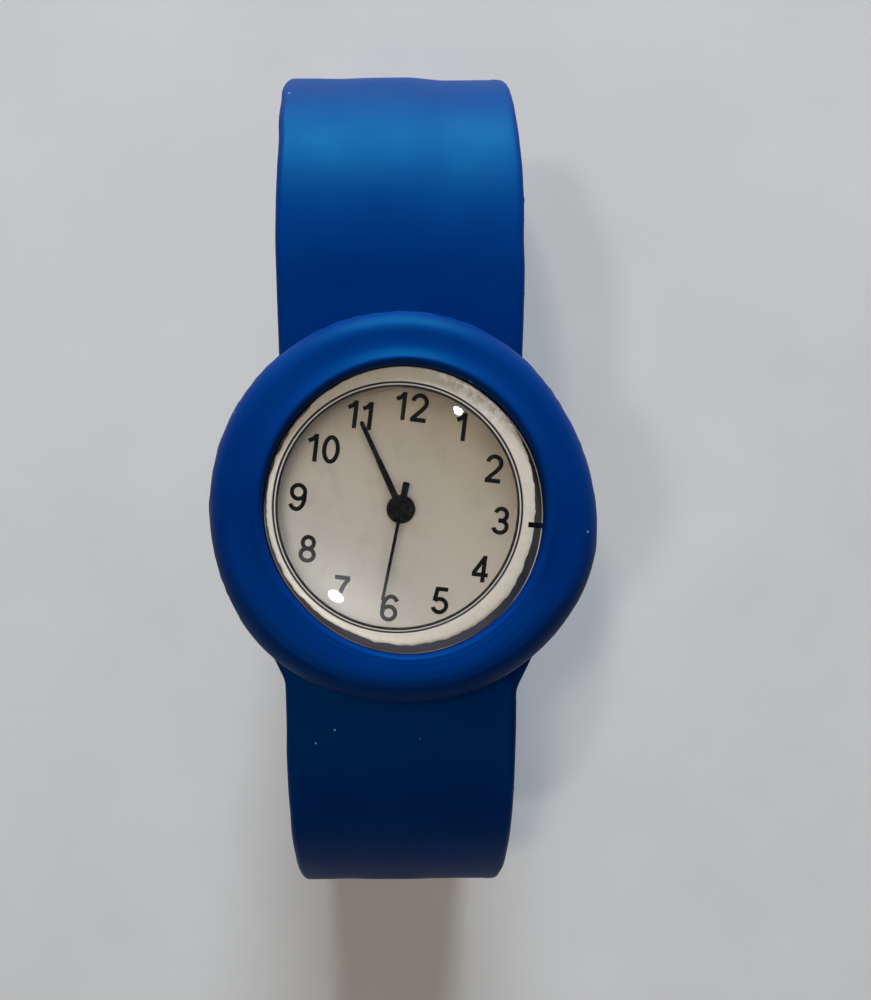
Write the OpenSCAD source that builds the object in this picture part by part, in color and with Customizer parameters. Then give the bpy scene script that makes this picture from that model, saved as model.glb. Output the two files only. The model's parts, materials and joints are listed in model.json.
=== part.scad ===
// Slap-band watch: a blue silicone band on sprung steel, and a push-in three-hand watch head.
// Millimetres, +Z up. The closed band stands on z = 0, the dial looks up, and 12 o'clock looks along +Y.

/* [Band] */
// Width of the band
band_w = 26; // [21:0.2:34]
// Thickness of the band
band_t = 3.0; // [2.4:0.1:4]
// Outer radius of each bend of the closed band
bend_r = 28; // [22:0.5:36]
// Half length of the flat top that carries the ring
flat_half = 24.5; // [20:0.5:32]
// Straight length at each end of the band
end_len = 8; // [7:0.5:16]
// Rounding of the long edges
edge_r = 1.0; // [0.5:0.1:1.2]
// Rounding of the corners at each end, seen from above
end_corner = 4; // [1:0.5:6]
// Width of the sprung steel strip inside the band
spring_w = 19; // [12:0.5:19]
// Thickness of the sprung steel strip
spring_t = 0.25; // [0.15:0.05:0.4]
// Silicone left beyond the strip at each end
spring_end = 3; // [2:0.5:5]

/* [Ring] */
// Outer diameter of the silicone ring that holds the head
ring_d = 40; // [37:0.5:46]
// Height of the ring above the flat top of the band
ring_h = 7.2; // [7:0.1:9]
// Radius of the ring's rolled outer side
roll_r = 2.8; // [2:0.1:3.4]
// Height of the ring's widest plane above the band
roll_h = 3.7; // [3:0.1:4]
// Radius of the bead around the opening
bead_r = 0.6; // [0.5:0.1:1.4]
// Radius of the hollow between bead and rolled side
hollow_r = 8; // [2.5:0.5:12]
// Depth to which the ring's foot reaches down the band's sides
foot_drop = 1.6; // [0.8:0.1:2]
// Angle around the ring at which each web leaves its foot
web_angle = 25; // [20:1:35]
// Radius in which each web runs out into the band's edge
web_r = 4; // [2:0.5:7]

/* [Watch case] */
// Outer diameter of the chromed case
case_d = 28.6; // [28:0.1:31]
// Inner radius of the case around the works
bore_r = 12.6; // [12:0.1:12.6]
// Radius of the opening above the dial
sight_r = 11.7; // [11.5:0.1:12.2]
// Thickness of the back plate
back_t = 0.45; // [0.3:0.05:0.8]
// Height of the room for the hands, from dial to crystal seat
hand_room = 1.0; // [1:0.05:1.6]
// Thickness of the crystal at its edge
crystal_edge = 0.9; // [0.6:0.05:1.4]
// Rise of the crystal's dome
dome_rise = 1.2; // [0.9:0.1:2]
// Width of the black seal around the crystal
seal_w = 0.35; // [0.25:0.05:0.4]
// Angle by which the head is turned in the ring, clockwise
dial_turn = 7; // [-20:1:20]

/* [Dial and hands] */
// Thickness of the dial
dial_t = 0.4; // [0.2:0.05:0.6]
// Length of the hour hand
hour_len = 5.6; // [4:0.1:7]
// Length of the minute hand
minute_len = 9.6; // [7:0.1:9.6]
// Length of the second hand
second_len = 9.5; // [7:0.1:9.5]
// Length of the second hand's tail
second_tail = 2.8; // [1.5:0.1:4]
// Width of the hour and minute hands at the hub
hand_w = 0.58; // [0.4:0.02:1]
// Width of the second hand
second_w = 0.34; // [0.2:0.02:0.5]
// Thickness of each hand
hand_t = 0.16; // [0.1:0.02:0.18]
// Radius of the hands' hubs
hub_r = 1.45; // [1.2:0.05:2]
// Time shown, in minutes after 12 o'clock
shown_min = 654.8; // [0:0.1:719.9]
// Second shown
shown_sec = 30.8; // [0:0.1:59.9]

/* [Movement] */
// Radius of the main plate
plate_r = 10.4; // [10.4:0.1:11]
// Thickness of the main plate
plate_t = 0.75; // [0.6:0.05:1]
// Thickness of the train bridge and the circuit board
bridge_t = 0.35; // [0.3:0.05:0.5]
// Thickness of each toothed wheel
wheel_t = 0.22; // [0.15:0.01:0.3]
// Diameter of the button cell
cell_d = 6.8; // [5.8:0.1:6.8]
// Height of the button cell
cell_h = 2.6; // [2:0.1:2.6]
// Radius of the coil winding
coil_r = 0.6; // [0.45:0.05:0.62]
// Length of the coil winding
coil_len = 6.4; // [5:0.2:6.8]
// Radius of the quartz can
quartz_r = 0.58; // [0.4:0.02:0.6]
// Length of the quartz can
quartz_len = 5.4; // [4:0.2:6]

/* [Winding stem] */
// Radius of the stem
stem_r = 0.4; // [0.3:0.02:0.45]
// Radius of the crown
crown_r = 1.2; // [0.9:0.05:1.25]
// Length of the crown
crown_len = 0.75; // [0.5:0.05:0.75]
// Travel of the crown when it is pulled out
crown_pull = 0.8; // [0.4:0.1:1]

/* [Fits] */
// Gap between the head and the ring's pocket
pocket_gap = 0.08; // [0.03:0.01:0.2]
// Gap between the steel strip and its slot
strip_gap = 0.05; // [0.03:0.01:0.1]
// Gap between a turning part and its bearing
run_gap = 0.04; // [0.02:0.01:0.06]
// Gap between parts that are seated together
seat_gap = 0.02; // [0.01:0.01:0.04]
// Height left between one moving layer and the next
layer_gap = 0.18; // [0.14:0.01:0.3]

/* [Hidden] */
$fn = 64;
links = 6;
link_angle = 180 / links;
band_half = band_w / 2;
strip_r = bend_r - band_t / 2;
floor_z = 2 * bend_r;

ring_r = ring_d / 2;
case_r = case_d / 2;
pocket_r = case_r + pocket_gap;

// How far a cutting shape runs past a face, and how far joined shapes lap
over = 1;
lap = 0.01;

// Ring: clearance and depth of the lip, lean of the foot, and the webs beside it
lip_gap = 0.06;
lip_drop = 0.2;
foot_lean = 4;
web_lap = 0.2;
web_root = 3;
web_step = 0.25;
roll_edge = ring_r - roll_r * (1 - cos(foot_lean));
foot_r = roll_edge - (roll_h - roll_r * sin(foot_lean) + foot_drop) * tan(foot_lean);

// Case: rim, slot in the rim, seat of the crystal, groove of the gasket and skirt of the back
rim_flat = 0.9;
rim_step = 0.5;
rim_low = 0.1;
rim_fall = 0.8;
slot_w = 0.5;
slot_in = 1.2;
slot_deep = 0.8;
crystal_lap = 0.4;
crystal_proud = 0.05;
dome_land = 0.2;
dome_thin = 0.1;
seal_low = 0.1;
gasket_in = 0.3;
gasket_w = 0.4;
gasket_h = 0.4;
gasket_gap = 0.03;
back_in = 0.15;
skirt_w = 0.45;
skirt_h = 0.6;
crystal_r = sight_r + crystal_lap;

// Crown, stem and setting parts
crown_flush = 0.05;
crown_room = 0.3;
notch_gap = 0.12;
stem_clear = 0.08;
stem_back = 1.3;
stem_seat = 0.4;
stem_room = 0.2;
groove_w = 0.4;
groove_x = 7.2;
flute_r = 0.12;
flute_out = 0.02;
pinion_in = 0.5;
pinion_len = 1.1;
pinion_teeth = 10;
pinion_module = 0.12;
pinion_clear = 0.13;
pinion_ends = 0.2;
pinion_tip = pinion_module * (pinion_teeth / 2 + 0.75);
lever_t = 0.24;
lever_len = 3.9;
lever_side = 0.7;
lever_h = 0.75;
lever_low = 0.4;

// Dial, its feet, the hands' hubs and the second hand's cap
dial_foot_dist = 9.3;
dial_foot_r = 0.35;
dial_foot_up = 0.2;
dial_hole = 0.15;
dial_edge = 0.1;
dial_clear = 0.15;
hub_step = 0.15;
cap_hub = hub_r - 3 * hub_step;
cap_r = 0.6;
cap_in = 0.3;
cap_h = 0.1;
cap_rise = 0.04;
tail_in = 0.6;

// Plate, bridge, pillars, screws and holder
under_bridge = 0.2;
bridge_r = 7;
pillar_r = 0.8;
pillar_a = 5.2;
pillar_b = 5.3;
pillar_c = 6.3;
screw_r = 0.28;
screw_tip = 0.25;
screw_deep = 0.3;
screw_head = 0.55;
screw_head_t = 0.16;
screw_room = 0.05;
driver_w = 0.14;
driver_deep = 0.08;
holder_fit = 0.05;
holder_edge = 0.1;
minute_post = 0.3;
minute_post_up = 0.12;

// Cell, clip and contact
cell_clear = 0.2;
cell_gap = 0.06;
cell_room = 0.15;
cell_rim = 0.4;
cell_step = 0.5;
clip_t = 0.1;
clip_w = 1.2;
clip_arm = 0.9;
clip_arm_t = 0.5;
clip_room = 0.15;
clip_slot = cell_d + 2 * (clip_arm + clip_room);
clip_slot_w = clip_w + 2 * clip_room;
contact_w = 1.2;
contact_len = 9;
contact_t = 0.12;
contact_gap = 0.06;
contact_end = 0.1;
contact_room = 0.45;
contact_slot = contact_len + 2 * contact_end;
contact_slot_w = contact_w + 2 * contact_gap;
washer_room = 0.1;
washer_gap = 0.06;
washer_w = 0.64;
washer_t = 0.08;

// Board, quartz can, coil, core and stator
board_gap = 0.25;
board_edge = 0.2;
board_from = -112;
board_turn = 256;
chip_x = 7.6;
chip_y = 2.2;
chip_w = 1.8;
chip_h = 0.35;
quartz_dist = 8.3;
quartz_dir = -60;
coil_dist = 8.3;
core_w = 0.7;
core_slot_w = core_w + 2 * seat_gap;
core_t = 0.36;
core_len = 9.2;
leg_w = 1;
leg_in = 0.9;
leg_len = 1.5;
stator_t = 0.45;
stator_w = 3;
rotor_r = 0.8;
magnet_low = 0.4;
air_gap = 0.2;

// Wheels: overhang of the leaves, end shake of an arbor, and how far pivots reach
leaf_over = 0.06;
end_shake = 0.06;
pivot_in = 0.05;
pivot_up = 0.32;
pivot_deep = 0.4;
arbor_over = 0.1;
tube_wall = 0.17;
hour_wall = 0.27;

// Teeth of the going train and the motion work
rotor_teeth = 6;
step_teeth = 36;
step_leaves = 8;
second_teeth = 40;
second_leaves = 8;
third_teeth = 60;
third_leaves = 8;
centre_teeth = 64;
cannon_leaves = 12;
minute_teeth = 36;
minute_leaves = 10;
hour_teeth = 40;
second_module = 0.1;
step_module = 0.145;
rotor_module = 0.11;
cannon_module = 0.12;
third_dist = second_module * (second_leaves + third_teeth) / 2;
centre_module = 2 * third_dist / (third_leaves + centre_teeth);
step_dist = step_module * (step_leaves + second_teeth) / 2;
rotor_dist = rotor_module * (rotor_teeth + step_teeth) / 2;
minute_dist = cannon_module * (cannon_leaves + minute_teeth) / 2;
hour_module = 2 * minute_dist / (minute_leaves + hour_teeth);

// Directions of the parts around the dial centre, from 3 o'clock, counter-clockwise
third_dir = -60;
step_dir = 100;
minute_dir = 20;
cell_dir = 210;
third_at = third_dist * [cos(third_dir), sin(third_dir)];
step_at = step_dist * [cos(step_dir), sin(step_dir)];
motor_dist = step_dist + rotor_dist;
rotor_at = motor_dist * [cos(step_dir), sin(step_dir)];
minute_at = minute_dist * [cos(minute_dir), sin(minute_dir)];
wheel_edge = centre_module * centre_teeth / 2 + centre_module;
cell_dist = wheel_edge + cell_d / 2 + cell_clear;
cell_at = cell_dist * [cos(cell_dir), sin(cell_dir)];
pillars = [
    pillar_a * [cos(35), sin(35)],
    pillar_b * [cos(155), sin(155)],
    pillar_c * [cos(-105), sin(-105)]
];
dial_feet = [for (a = [60, 240]) dial_foot_dist * [cos(a), sin(a)]];

// Radii of the nested arbors at the dial centre
second_arbor = 0.2;
centre_in = second_arbor + run_gap;
centre_out = centre_in + tube_wall;
cannon_in = centre_out + seat_gap;
cannon_out = cannon_in + tube_wall;
hour_in = cannon_out + run_gap;
hour_out = hour_in + hour_wall;
pivot_r = 0.12;
arbor_r = 0.15;

// Heights above the pocket floor
back_z = 0.05;
case_z = back_z + back_t;
bridge_z = case_z + under_bridge;
bridge_top = bridge_z + bridge_t;
layer_a = bridge_top + layer_gap;
layer_b = layer_a + wheel_t + layer_gap;
layer_c = layer_b + wheel_t + layer_gap;
plate_z = layer_c + wheel_t + layer_gap;
plate_top = plate_z + plate_t;
layer_m = plate_top + layer_gap;
layer_h = layer_m + wheel_t + layer_gap;
motion_h = layer_h - layer_m + wheel_t + leaf_over;
cannon_z = plate_top + end_shake;
cannon_h = layer_m + wheel_t + leaf_over - cannon_z;
dial_z = max(layer_h + wheel_t + layer_gap + washer_room, bridge_z + cell_h + contact_room);
dial_top = dial_z + dial_t;
hand_step = hand_t + layer_gap;
hour_z = dial_top + dial_clear;
minute_z = hour_z + hand_step;
second_z = minute_z + hand_step;
seat_z = dial_top + hand_room;
crystal_top = seat_z + crystal_edge;
case_top = crystal_top - crystal_proud;
cell_z = bridge_z + clip_t + seat_gap;
stem_z = plate_z - stem_r - stem_clear;
stem_in = wheel_edge + stem_back;
crown_in = case_r - crown_len - crown_flush;
notch_in = crown_in - run_gap;
groove_r = stem_r * 0.6;
leaf_h = wheel_t + 2 * leaf_over;
stator_z = plate_z - stator_t;
leg_at = (core_len - leg_w) / 2;
leg_end = coil_dist - leg_in + leg_len;

// Directions of the hands from 3 o'clock, counter-clockwise
minute_angle = 90 - 6 * shown_min;
hour_angle = 90 - shown_min / 2;
second_angle = 90 - 6 * shown_sec;

// Points along an arc
function arc(c, r, a, b, n = 8) =
    [for (i = [0:n]) let (t = a + (b - a) * i / n) c + r * [cos(t), sin(t)]];

// Direction of a vector
function aim(v) = atan2(v[1], v[0]);

// Right-hand meeting point of two circles
function meet(c, r, d, s) =
    let (
        len = norm(d - c),
        u = (d - c) / len,
        a = (r * r - s * s + len * len) / (2 * len),
        h = sqrt(max(0, r * r - a * a))
    )
    c + a * u + h * [u[1], -u[0]];

// Rectangle with rounded corners
function soft_box(x0, x1, y0, y1, r) = concat(
    arc([x1 - r, y1 - r], r, 0, 90, 6),
    arc([x0 + r, y1 - r], r, 90, 180, 6),
    arc([x0 + r, y0 + r], r, 180, 270, 6),
    arc([x1 - r, y0 + r], r, 270, 360, 6)
);

// Outline of a toothed wheel, with a tooth at the given angle
function teeth(count, module_, angle) =
    let (
        root = module_ * (count / 2 - 1.15),
        tip = module_ * (count / 2 + 0.75)
    )
    [for (i = [0:count - 1]) for (p = [[-0.29, root], [-0.09, tip], [0.09, tip], [0.29, root]])
        let (t = angle + (i + p[0]) * 360 / count)
        p[1] * [cos(t), sin(t)]];

// Angle of a tooth on a wheel that is driven in the given direction by another
function driven(angle, direction, count, next) =
    direction + 180 + 180 / next - (angle - direction) * count / next;

second_phase = 0;
third_phase = driven(second_phase, third_dir, second_leaves, third_teeth);
centre_phase = driven(third_phase, third_dir + 180, third_leaves, centre_teeth);
step_phase = driven(second_phase, step_dir, second_teeth, step_leaves);
rotor_phase = driven(step_phase, step_dir, step_teeth, rotor_teeth);
cannon_phase = 0;
minute_phase = driven(cannon_phase, minute_dir, cannon_leaves, minute_teeth);
hour_phase = driven(minute_phase, minute_dir + 180, minute_leaves, hour_teeth);

// Sections of the band and of its steel strip, across a bend
band_outline = soft_box(bend_r - band_t, bend_r, -band_half, band_half, min(edge_r, band_t * 0.45));

module strip_section(extra) {
    translate([strip_r - spring_t / 2 - extra, -spring_w / 2 - extra])
        square([spring_t + 2 * extra, spring_w + 2 * extra]);
}

// Places a bend's section plane, with the angle counted from the flat top
module on_bend(angle) {
    translate([0, flat_half, bend_r])
        rotate([90, 0, 90])
            rotate([0, 0, 90 - angle])
                children();
}

// Sweeps a section along the bend, from its start plane
module swept(from, to) {
    on_bend(from)
        mirror([0, 1, 0])
            rotate_extrude(angle = to - from)
                children();
}

// Sweeps a section along the bend, back from its end plane
module swept_back(from, to) {
    on_bend(to)
        rotate_extrude(angle = to - from)
            children();
}

// Runs a section straight on from the end of the bend
module straight_on(length) {
    on_bend(180)
        rotate([90, 0, 0])
            linear_extrude(height = length)
                children();
}

module plan_of_end() {
    y0 = flat_half - end_len;
    r = min(end_corner, band_half - over, end_len - over);
    translate([0, 0, -over])
        linear_extrude(height = band_t + 2 * over)
            polygon(concat(
                [[band_half + over, flat_half + over], [-band_half - over, flat_half + over]],
                [[-band_half - over, y0 + r]],
                arc([-band_half + r, y0 + r], r, 180, 270),
                arc([band_half - r, y0 + r], r, 270, 360),
                [[band_half + over, y0 + r]]
            ));
}

// One silicone link of the upper side
module band_link(k) {
    from = (k - 0.5) * link_angle;
    to = min(180, (k + 0.5) * link_angle);
    difference() {
        union() {
            swept_back(from, to)
                polygon(band_outline);
            if (k == links)
                intersection() {
                    straight_on(end_len)
                        polygon(band_outline);
                    plan_of_end();
                }
        }
        swept_back(from - 1, k < links ? to + 1 : to)
            strip_section(strip_gap);
        if (k == links)
            straight_on(end_len - spring_end)
                strip_section(strip_gap);
    }
}

// One steel segment of the upper side
module spring_link(k) {
    from = (k - 0.5) * link_angle;
    to = min(180, (k + 0.5) * link_angle);
    swept_back(from, to)
        strip_section(0);
    if (k == links)
        straight_on(end_len - spring_end - strip_gap)
            strip_section(0);
}

// The flat part of a section, along the top
module along_top() {
    translate([0, flat_half, bend_r])
        rotate([90, 0, 90])
            rotate([0, 0, 90])
                rotate([90, 0, 0])
                    translate([0, 0, -2 * flat_half])
                        linear_extrude(height = 2 * flat_half)
                            children();
}

module both_bends() {
    children();
    mirror([0, 1, 0])
        children();
}

// Section of the ring: foot, rolled side, hollow, bead, pocket wall and pocket floor
module ring_section() {
    roll = [ring_r - roll_r, roll_h];
    bead = [pocket_r + lip_gap + bead_r, ring_h - bead_r];
    hollow = meet(roll, roll_r + hollow_r, bead, bead_r + hollow_r);
    polygon(concat(
        [[0, -foot_drop], [foot_r, -foot_drop]],
        arc(roll, roll_r, -foot_lean, aim(hollow - roll), 12),
        arc(hollow, hollow_r, aim(roll - hollow), aim(bead - hollow), 6),
        arc(bead, bead_r, aim(hollow - bead), 180, 8),
        [[pocket_r, bead[1] - lip_drop], [pocket_r, 0], [0, 0]]
    ));
}

// Web between the ring's foot and the band's edge: it leaves the ring on a tangent and runs out in a curve
module web() {
    edge = band_half - web_lap;
    out = [cos(web_angle), sin(web_angle)];
    cx = edge + web_r;
    cy = (foot_r + web_r - out[0] * cx) / out[1];
    leave = out * foot_r;
    translate([0, 0, floor_z - foot_drop])
        linear_extrude(height = foot_drop - web_step)
            difference() {
                polygon([
                    leave, [cx, cy] - out * web_r, [edge, cy],
                    [edge - web_root, cy], [edge - web_root, leave[1]]
                ]);
                translate([cx, cy])
                    circle(r = web_r);
            }
}

// Places parts of the head above the pocket floor, turned with the dial
module head() {
    translate([0, 0, floor_z])
        rotate([0, 0, -dial_turn])
            children();
}

module tube(r_in, r_out, z, h) {
    translate([0, 0, z])
        difference() {
            cylinder(r = r_out, h = h);
            translate([0, 0, -over])
                cylinder(r = r_in, h = h + 2 * over);
        }
}

module post(r, z0, z1) {
    translate([0, 0, z0])
        cylinder(r = r, h = z1 - z0);
}

module gear(count, module_, angle, z, h) {
    translate([0, 0, z])
        linear_extrude(height = h)
            polygon(teeth(count, module_, angle));
}

// Places parts on the stem's axis, pointing out at 3 o'clock
module on_stem(x) {
    translate([x, 0, stem_z])
        rotate([0, 90, 0])
            children();
}

// Places parts in the motor's frame: x outward, y along the coil
module on_motor() {
    rotate([0, 0, step_dir])
        children();
}

module band_centre() {
    color([0.01, 0.09, 0.32])
        difference() {
            union() {
                along_top()
                    polygon(band_outline);
                both_bends()
                    swept(0, link_angle / 2)
                        polygon(band_outline);
                translate([0, 0, floor_z])
                    rotate_extrude()
                        ring_section();
                for (s = [0, 1])
                    mirror([s, 0, 0])
                        mirror([0, 1, 0])
                            web();
            }
            along_top()
                strip_section(strip_gap);
            both_bends()
                swept(0, link_angle / 2 + 1)
                    strip_section(strip_gap);
            head()
                on_stem(case_r - over)
                    cylinder(r = crown_r + crown_room, h = over + crown_pull + crown_room);
        }
}

module spring_centre() {
    color([0.7, 0.72, 0.74])
        union() {
            along_top()
                strip_section(0);
            both_bends()
                swept(0, link_angle / 2)
                    strip_section(0);
        }
}

module upper_band(k) {
    color([0.01, 0.09, 0.32])
        band_link(k);
}

module lower_band(k) {
    color([0.01, 0.09, 0.32])
        mirror([0, 1, 0])
            band_link(k);
}

module upper_spring(k) {
    color([0.7, 0.72, 0.74])
        spring_link(k);
}

module lower_spring(k) {
    color([0.7, 0.72, 0.74])
        mirror([0, 1, 0])
            spring_link(k);
}

module watch_case() {
    seat_r = crystal_r + seal_w + 2 * seat_gap;
    color([0.75, 0.78, 0.82])
        head()
            difference() {
                rotate_extrude()
                    polygon([
                        [bore_r, case_z], [case_r, case_z], [case_r, case_top - rim_fall],
                        [case_r - rim_step, case_top - rim_low], [case_r - rim_flat, case_top],
                        [seat_r, case_top], [seat_r, seat_z], [sight_r, seat_z],
                        [sight_r, dial_top + seat_gap], [bore_r, dial_top + seat_gap]
                    ]);
                tube(
                    bore_r + gasket_in, bore_r + gasket_in + gasket_w,
                    case_z - over, over + gasket_h + 2 * seat_gap
                );
                on_stem(bore_r - over)
                    cylinder(r = stem_r + run_gap, h = case_r - bore_r + 2 * over);
                on_stem(notch_in)
                    cylinder(r = crown_r + notch_gap, h = case_r - notch_in + over);
                translate([case_r - slot_in, -slot_w / 2, case_top - slot_deep])
                    cube([slot_in + over, slot_w, slot_deep + over]);
            }
}

module crystal() {
    r_in = sight_r - dome_land;
    rise_in = dome_rise - dome_thin;
    dome = (crystal_r * crystal_r + dome_rise * dome_rise) / (2 * dome_rise);
    hollow = (r_in * r_in + rise_in * rise_in) / (2 * rise_in);
    color([0.85, 0.9, 0.92, 0.35])
        head()
            difference() {
                intersection() {
                    post(crystal_r, seat_z + seat_gap, crystal_top + dome_rise + over);
                    translate([0, 0, crystal_top + dome_rise - dome])
                        sphere(r = dome);
                }
                translate([0, 0, seat_z + seat_gap + rise_in - hollow])
                    sphere(r = hollow);
            }
}

module crystal_seal() {
    r_in = crystal_r + seat_gap;
    color([0.03, 0.03, 0.03])
        head()
            tube(r_in, r_in + seal_w, seat_z + seat_gap, case_top - seat_z - seal_low);
}

module case_back() {
    color([0.62, 0.63, 0.65])
        head()
            union() {
                post(case_r - back_in, back_z, case_z);
                tube(bore_r - skirt_w, bore_r - seat_gap, case_z - lap, skirt_h);
            }
}

module case_back_gasket() {
    color([0.05, 0.05, 0.05])
        head()
            tube(
                bore_r + gasket_in + gasket_gap, bore_r + gasket_in + gasket_w - gasket_gap,
                case_z + seat_gap, gasket_h
            );
}

module dial() {
    color([0.93, 0.92, 0.9])
        head()
            union() {
                tube(hour_out + dial_hole, bore_r - dial_edge, dial_z, dial_t);
                for (p = dial_feet)
                    translate(p)
                        post(dial_foot_r, plate_z + dial_foot_up, dial_z + lap);
            }
}

module movement_holder() {
    color([0.9, 0.9, 0.88])
        head()
            difference() {
                tube(
                    plate_r + holder_fit, bore_r - skirt_w - holder_edge,
                    bridge_z, dial_z - bridge_z - 2 * seat_gap
                );
                on_stem(plate_r - over)
                    cylinder(r = stem_r + stem_room, h = bore_r - plate_r + 2 * over);
            }
}

module main_plate() {
    color([0.2, 0.2, 0.22])
        head()
            difference() {
                union() {
                    post(plate_r, plate_z, plate_top);
                    for (p = pillars)
                        translate(p)
                            post(pillar_r, bridge_top, plate_z + lap);
                    translate(minute_at)
                        post(minute_post, plate_top - lap, layer_h + wheel_t + minute_post_up);
                }
                post(centre_out + run_gap, plate_z - over, plate_top + over);
                for (p = [third_at, step_at, rotor_at])
                    translate(p)
                        post(pivot_r + run_gap, plate_z - over, plate_z + pivot_deep);
                translate(cell_at)
                    post(cell_d / 2 + cell_gap, plate_z - over, plate_top + over);
                rotate([0, 0, cell_dir])
                    translate([cell_dist - contact_slot_w / 2, -contact_slot / 2, cell_z + cell_h])
                        cube([contact_slot_w, contact_slot, plate_t + over]);
                for (p = pillars)
                    translate(p)
                        post(screw_r + seat_gap, bridge_top - over, plate_z + screw_deep);
                for (p = dial_feet)
                    translate(p)
                        post(dial_foot_r + seat_gap, plate_z - over, plate_top + over);
                on_stem(stem_in + pinion_in - pinion_ends)
                    cylinder(r = pinion_tip + pinion_clear, h = pinion_len + 2 * pinion_ends + crown_pull);
            }
}

module train_bridge() {
    color([0.72, 0.73, 0.74])
        head()
            difference() {
                post(bridge_r, bridge_z, bridge_top);
                translate(cell_at)
                    post(cell_d / 2 + cell_room, bridge_z - over, bridge_top + over);
                rotate([0, 0, cell_dir])
                    translate([cell_dist - clip_slot_w / 2, -clip_slot / 2, bridge_z - over])
                        cube([clip_slot_w, clip_slot, bridge_t + 2 * over]);
                post(pivot_r + run_gap, bridge_z - over, bridge_top + over);
                for (p = [third_at, step_at, rotor_at])
                    translate(p)
                        post(pivot_r + run_gap, bridge_z - over, bridge_top + over);
                for (p = pillars)
                    translate(p) {
                        post(screw_r + seat_gap, bridge_z - over, bridge_top + over);
                        post(screw_head + screw_room, bridge_z - over, bridge_z + screw_head_t + seat_gap);
                    }
            }
}

module movement_screws() {
    color([0.6, 0.6, 0.62])
        head()
            for (p = pillars)
                translate(p)
                    difference() {
                        union() {
                            post(screw_head, bridge_z + lap, bridge_z + lap + screw_head_t);
                            post(screw_r, bridge_z + screw_head_t, plate_z + screw_tip);
                        }
                        translate([-screw_head - screw_room, -driver_w / 2, bridge_z - over])
                            cube([2 * (screw_head + screw_room), driver_w, over + driver_deep]);
                    }
}

module circuit_board() {
    color([0.05, 0.3, 0.15])
        head()
            union() {
                translate([0, 0, bridge_z])
                    rotate([0, 0, board_from])
                        rotate_extrude(angle = board_turn)
                            translate([bridge_r + board_gap, 0])
                                square([plate_r - board_edge - bridge_r - board_gap, bridge_t]);
                translate([chip_x, chip_y, bridge_top - lap])
                    cube([chip_w, chip_w, chip_h]);
            }
}

module quartz_can() {
    z = bridge_top + quartz_r + 2 * seat_gap;
    color([0.7, 0.71, 0.73])
        head()
            rotate([0, 0, quartz_dir])
                translate([quartz_dist, 0, z])
                    rotate([90, 0, 0])
                        cylinder(r = quartz_r, h = quartz_len, center = true);
}

module coil() {
    z = bridge_top + coil_r + 2 * seat_gap;
    color([0.62, 0.3, 0.12])
        head()
            on_motor()
                translate([coil_dist, 0, z])
                    rotate([90, 0, 0])
                        difference() {
                            cylinder(r = coil_r, h = coil_len, center = true);
                            cube([core_slot_w, core_t + 2 * seat_gap, coil_len + over], center = true);
                        }
}

module coil_core() {
    z = bridge_top + coil_r + 2 * seat_gap;
    color([0.5, 0.5, 0.52])
        head()
            on_motor()
                union() {
                    translate([coil_dist - core_w / 2, -core_len / 2, z - core_t / 2])
                        cube([core_w, core_len, core_t]);
                    for (s = [-1, 1])
                        translate([coil_dist - leg_in, s * leg_at - leg_w / 2, z - core_t / 2])
                            cube([leg_len, leg_w, max(core_t, stator_z - z + core_t / 2)]);
                }
}

module stator() {
    color([0.55, 0.55, 0.57])
        head()
            on_motor()
                difference() {
                    union() {
                        translate([motor_dist - stator_w / 2, -core_len / 2, stator_z])
                            cube([stator_w, core_len, stator_t]);
                        for (s = [-1, 1])
                            translate([motor_dist, s * leg_at - leg_w / 2, stator_z])
                                cube([leg_end - motor_dist, leg_w, stator_t]);
                    }
                    translate([motor_dist, 0, 0])
                        post(rotor_r + air_gap, stator_z - over, plate_z + over);
                }
}

module rotor() {
    color([0.35, 0.35, 0.37])
        head()
            translate(rotor_at)
                union() {
                    gear(rotor_teeth, rotor_module, rotor_phase, layer_b - leaf_over, leaf_h);
                    post(rotor_r, plate_z - magnet_low, plate_z - end_shake);
                    post(pivot_r, bridge_z + pivot_in, plate_z + pivot_up);
                }
}

module intermediate_wheel() {
    color([0.85, 0.85, 0.8])
        head()
            translate(step_at)
                union() {
                    gear(step_leaves, step_module, step_phase, layer_a - leaf_over, leaf_h);
                    gear(step_teeth, rotor_module, step_phase, layer_b, wheel_t);
                    post(arbor_r, layer_a - arbor_over, plate_z - end_shake);
                    post(pivot_r, bridge_z + pivot_in, plate_z + pivot_up);
                }
}

module seconds_wheel() {
    color([0.8, 0.65, 0.3])
        head()
            union() {
                gear(second_teeth, step_module, second_phase, layer_a, wheel_t);
                gear(second_leaves, second_module, second_phase, layer_b - leaf_over, leaf_h);
                post(pivot_r, bridge_z + pivot_in, layer_a + arbor_over);
                post(second_arbor, layer_a - arbor_over, second_z + hand_t + seat_gap);
            }
}

module third_wheel() {
    color([0.8, 0.65, 0.3])
        head()
            translate(third_at)
                union() {
                    gear(third_teeth, second_module, third_phase, layer_b, wheel_t);
                    gear(third_leaves, centre_module, third_phase, layer_c - leaf_over, leaf_h);
                    post(arbor_r, bridge_top + end_shake, plate_z - end_shake);
                    post(pivot_r, bridge_z + pivot_in, plate_z + pivot_up);
                }
}

module centre_wheel() {
    color([0.8, 0.65, 0.3])
        head()
            difference() {
                union() {
                    gear(centre_teeth, centre_module, centre_phase, layer_c, wheel_t);
                    post(centre_out, layer_c, minute_z - arbor_over);
                }
                post(centre_in, layer_c - over, minute_z + over);
            }
}

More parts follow.
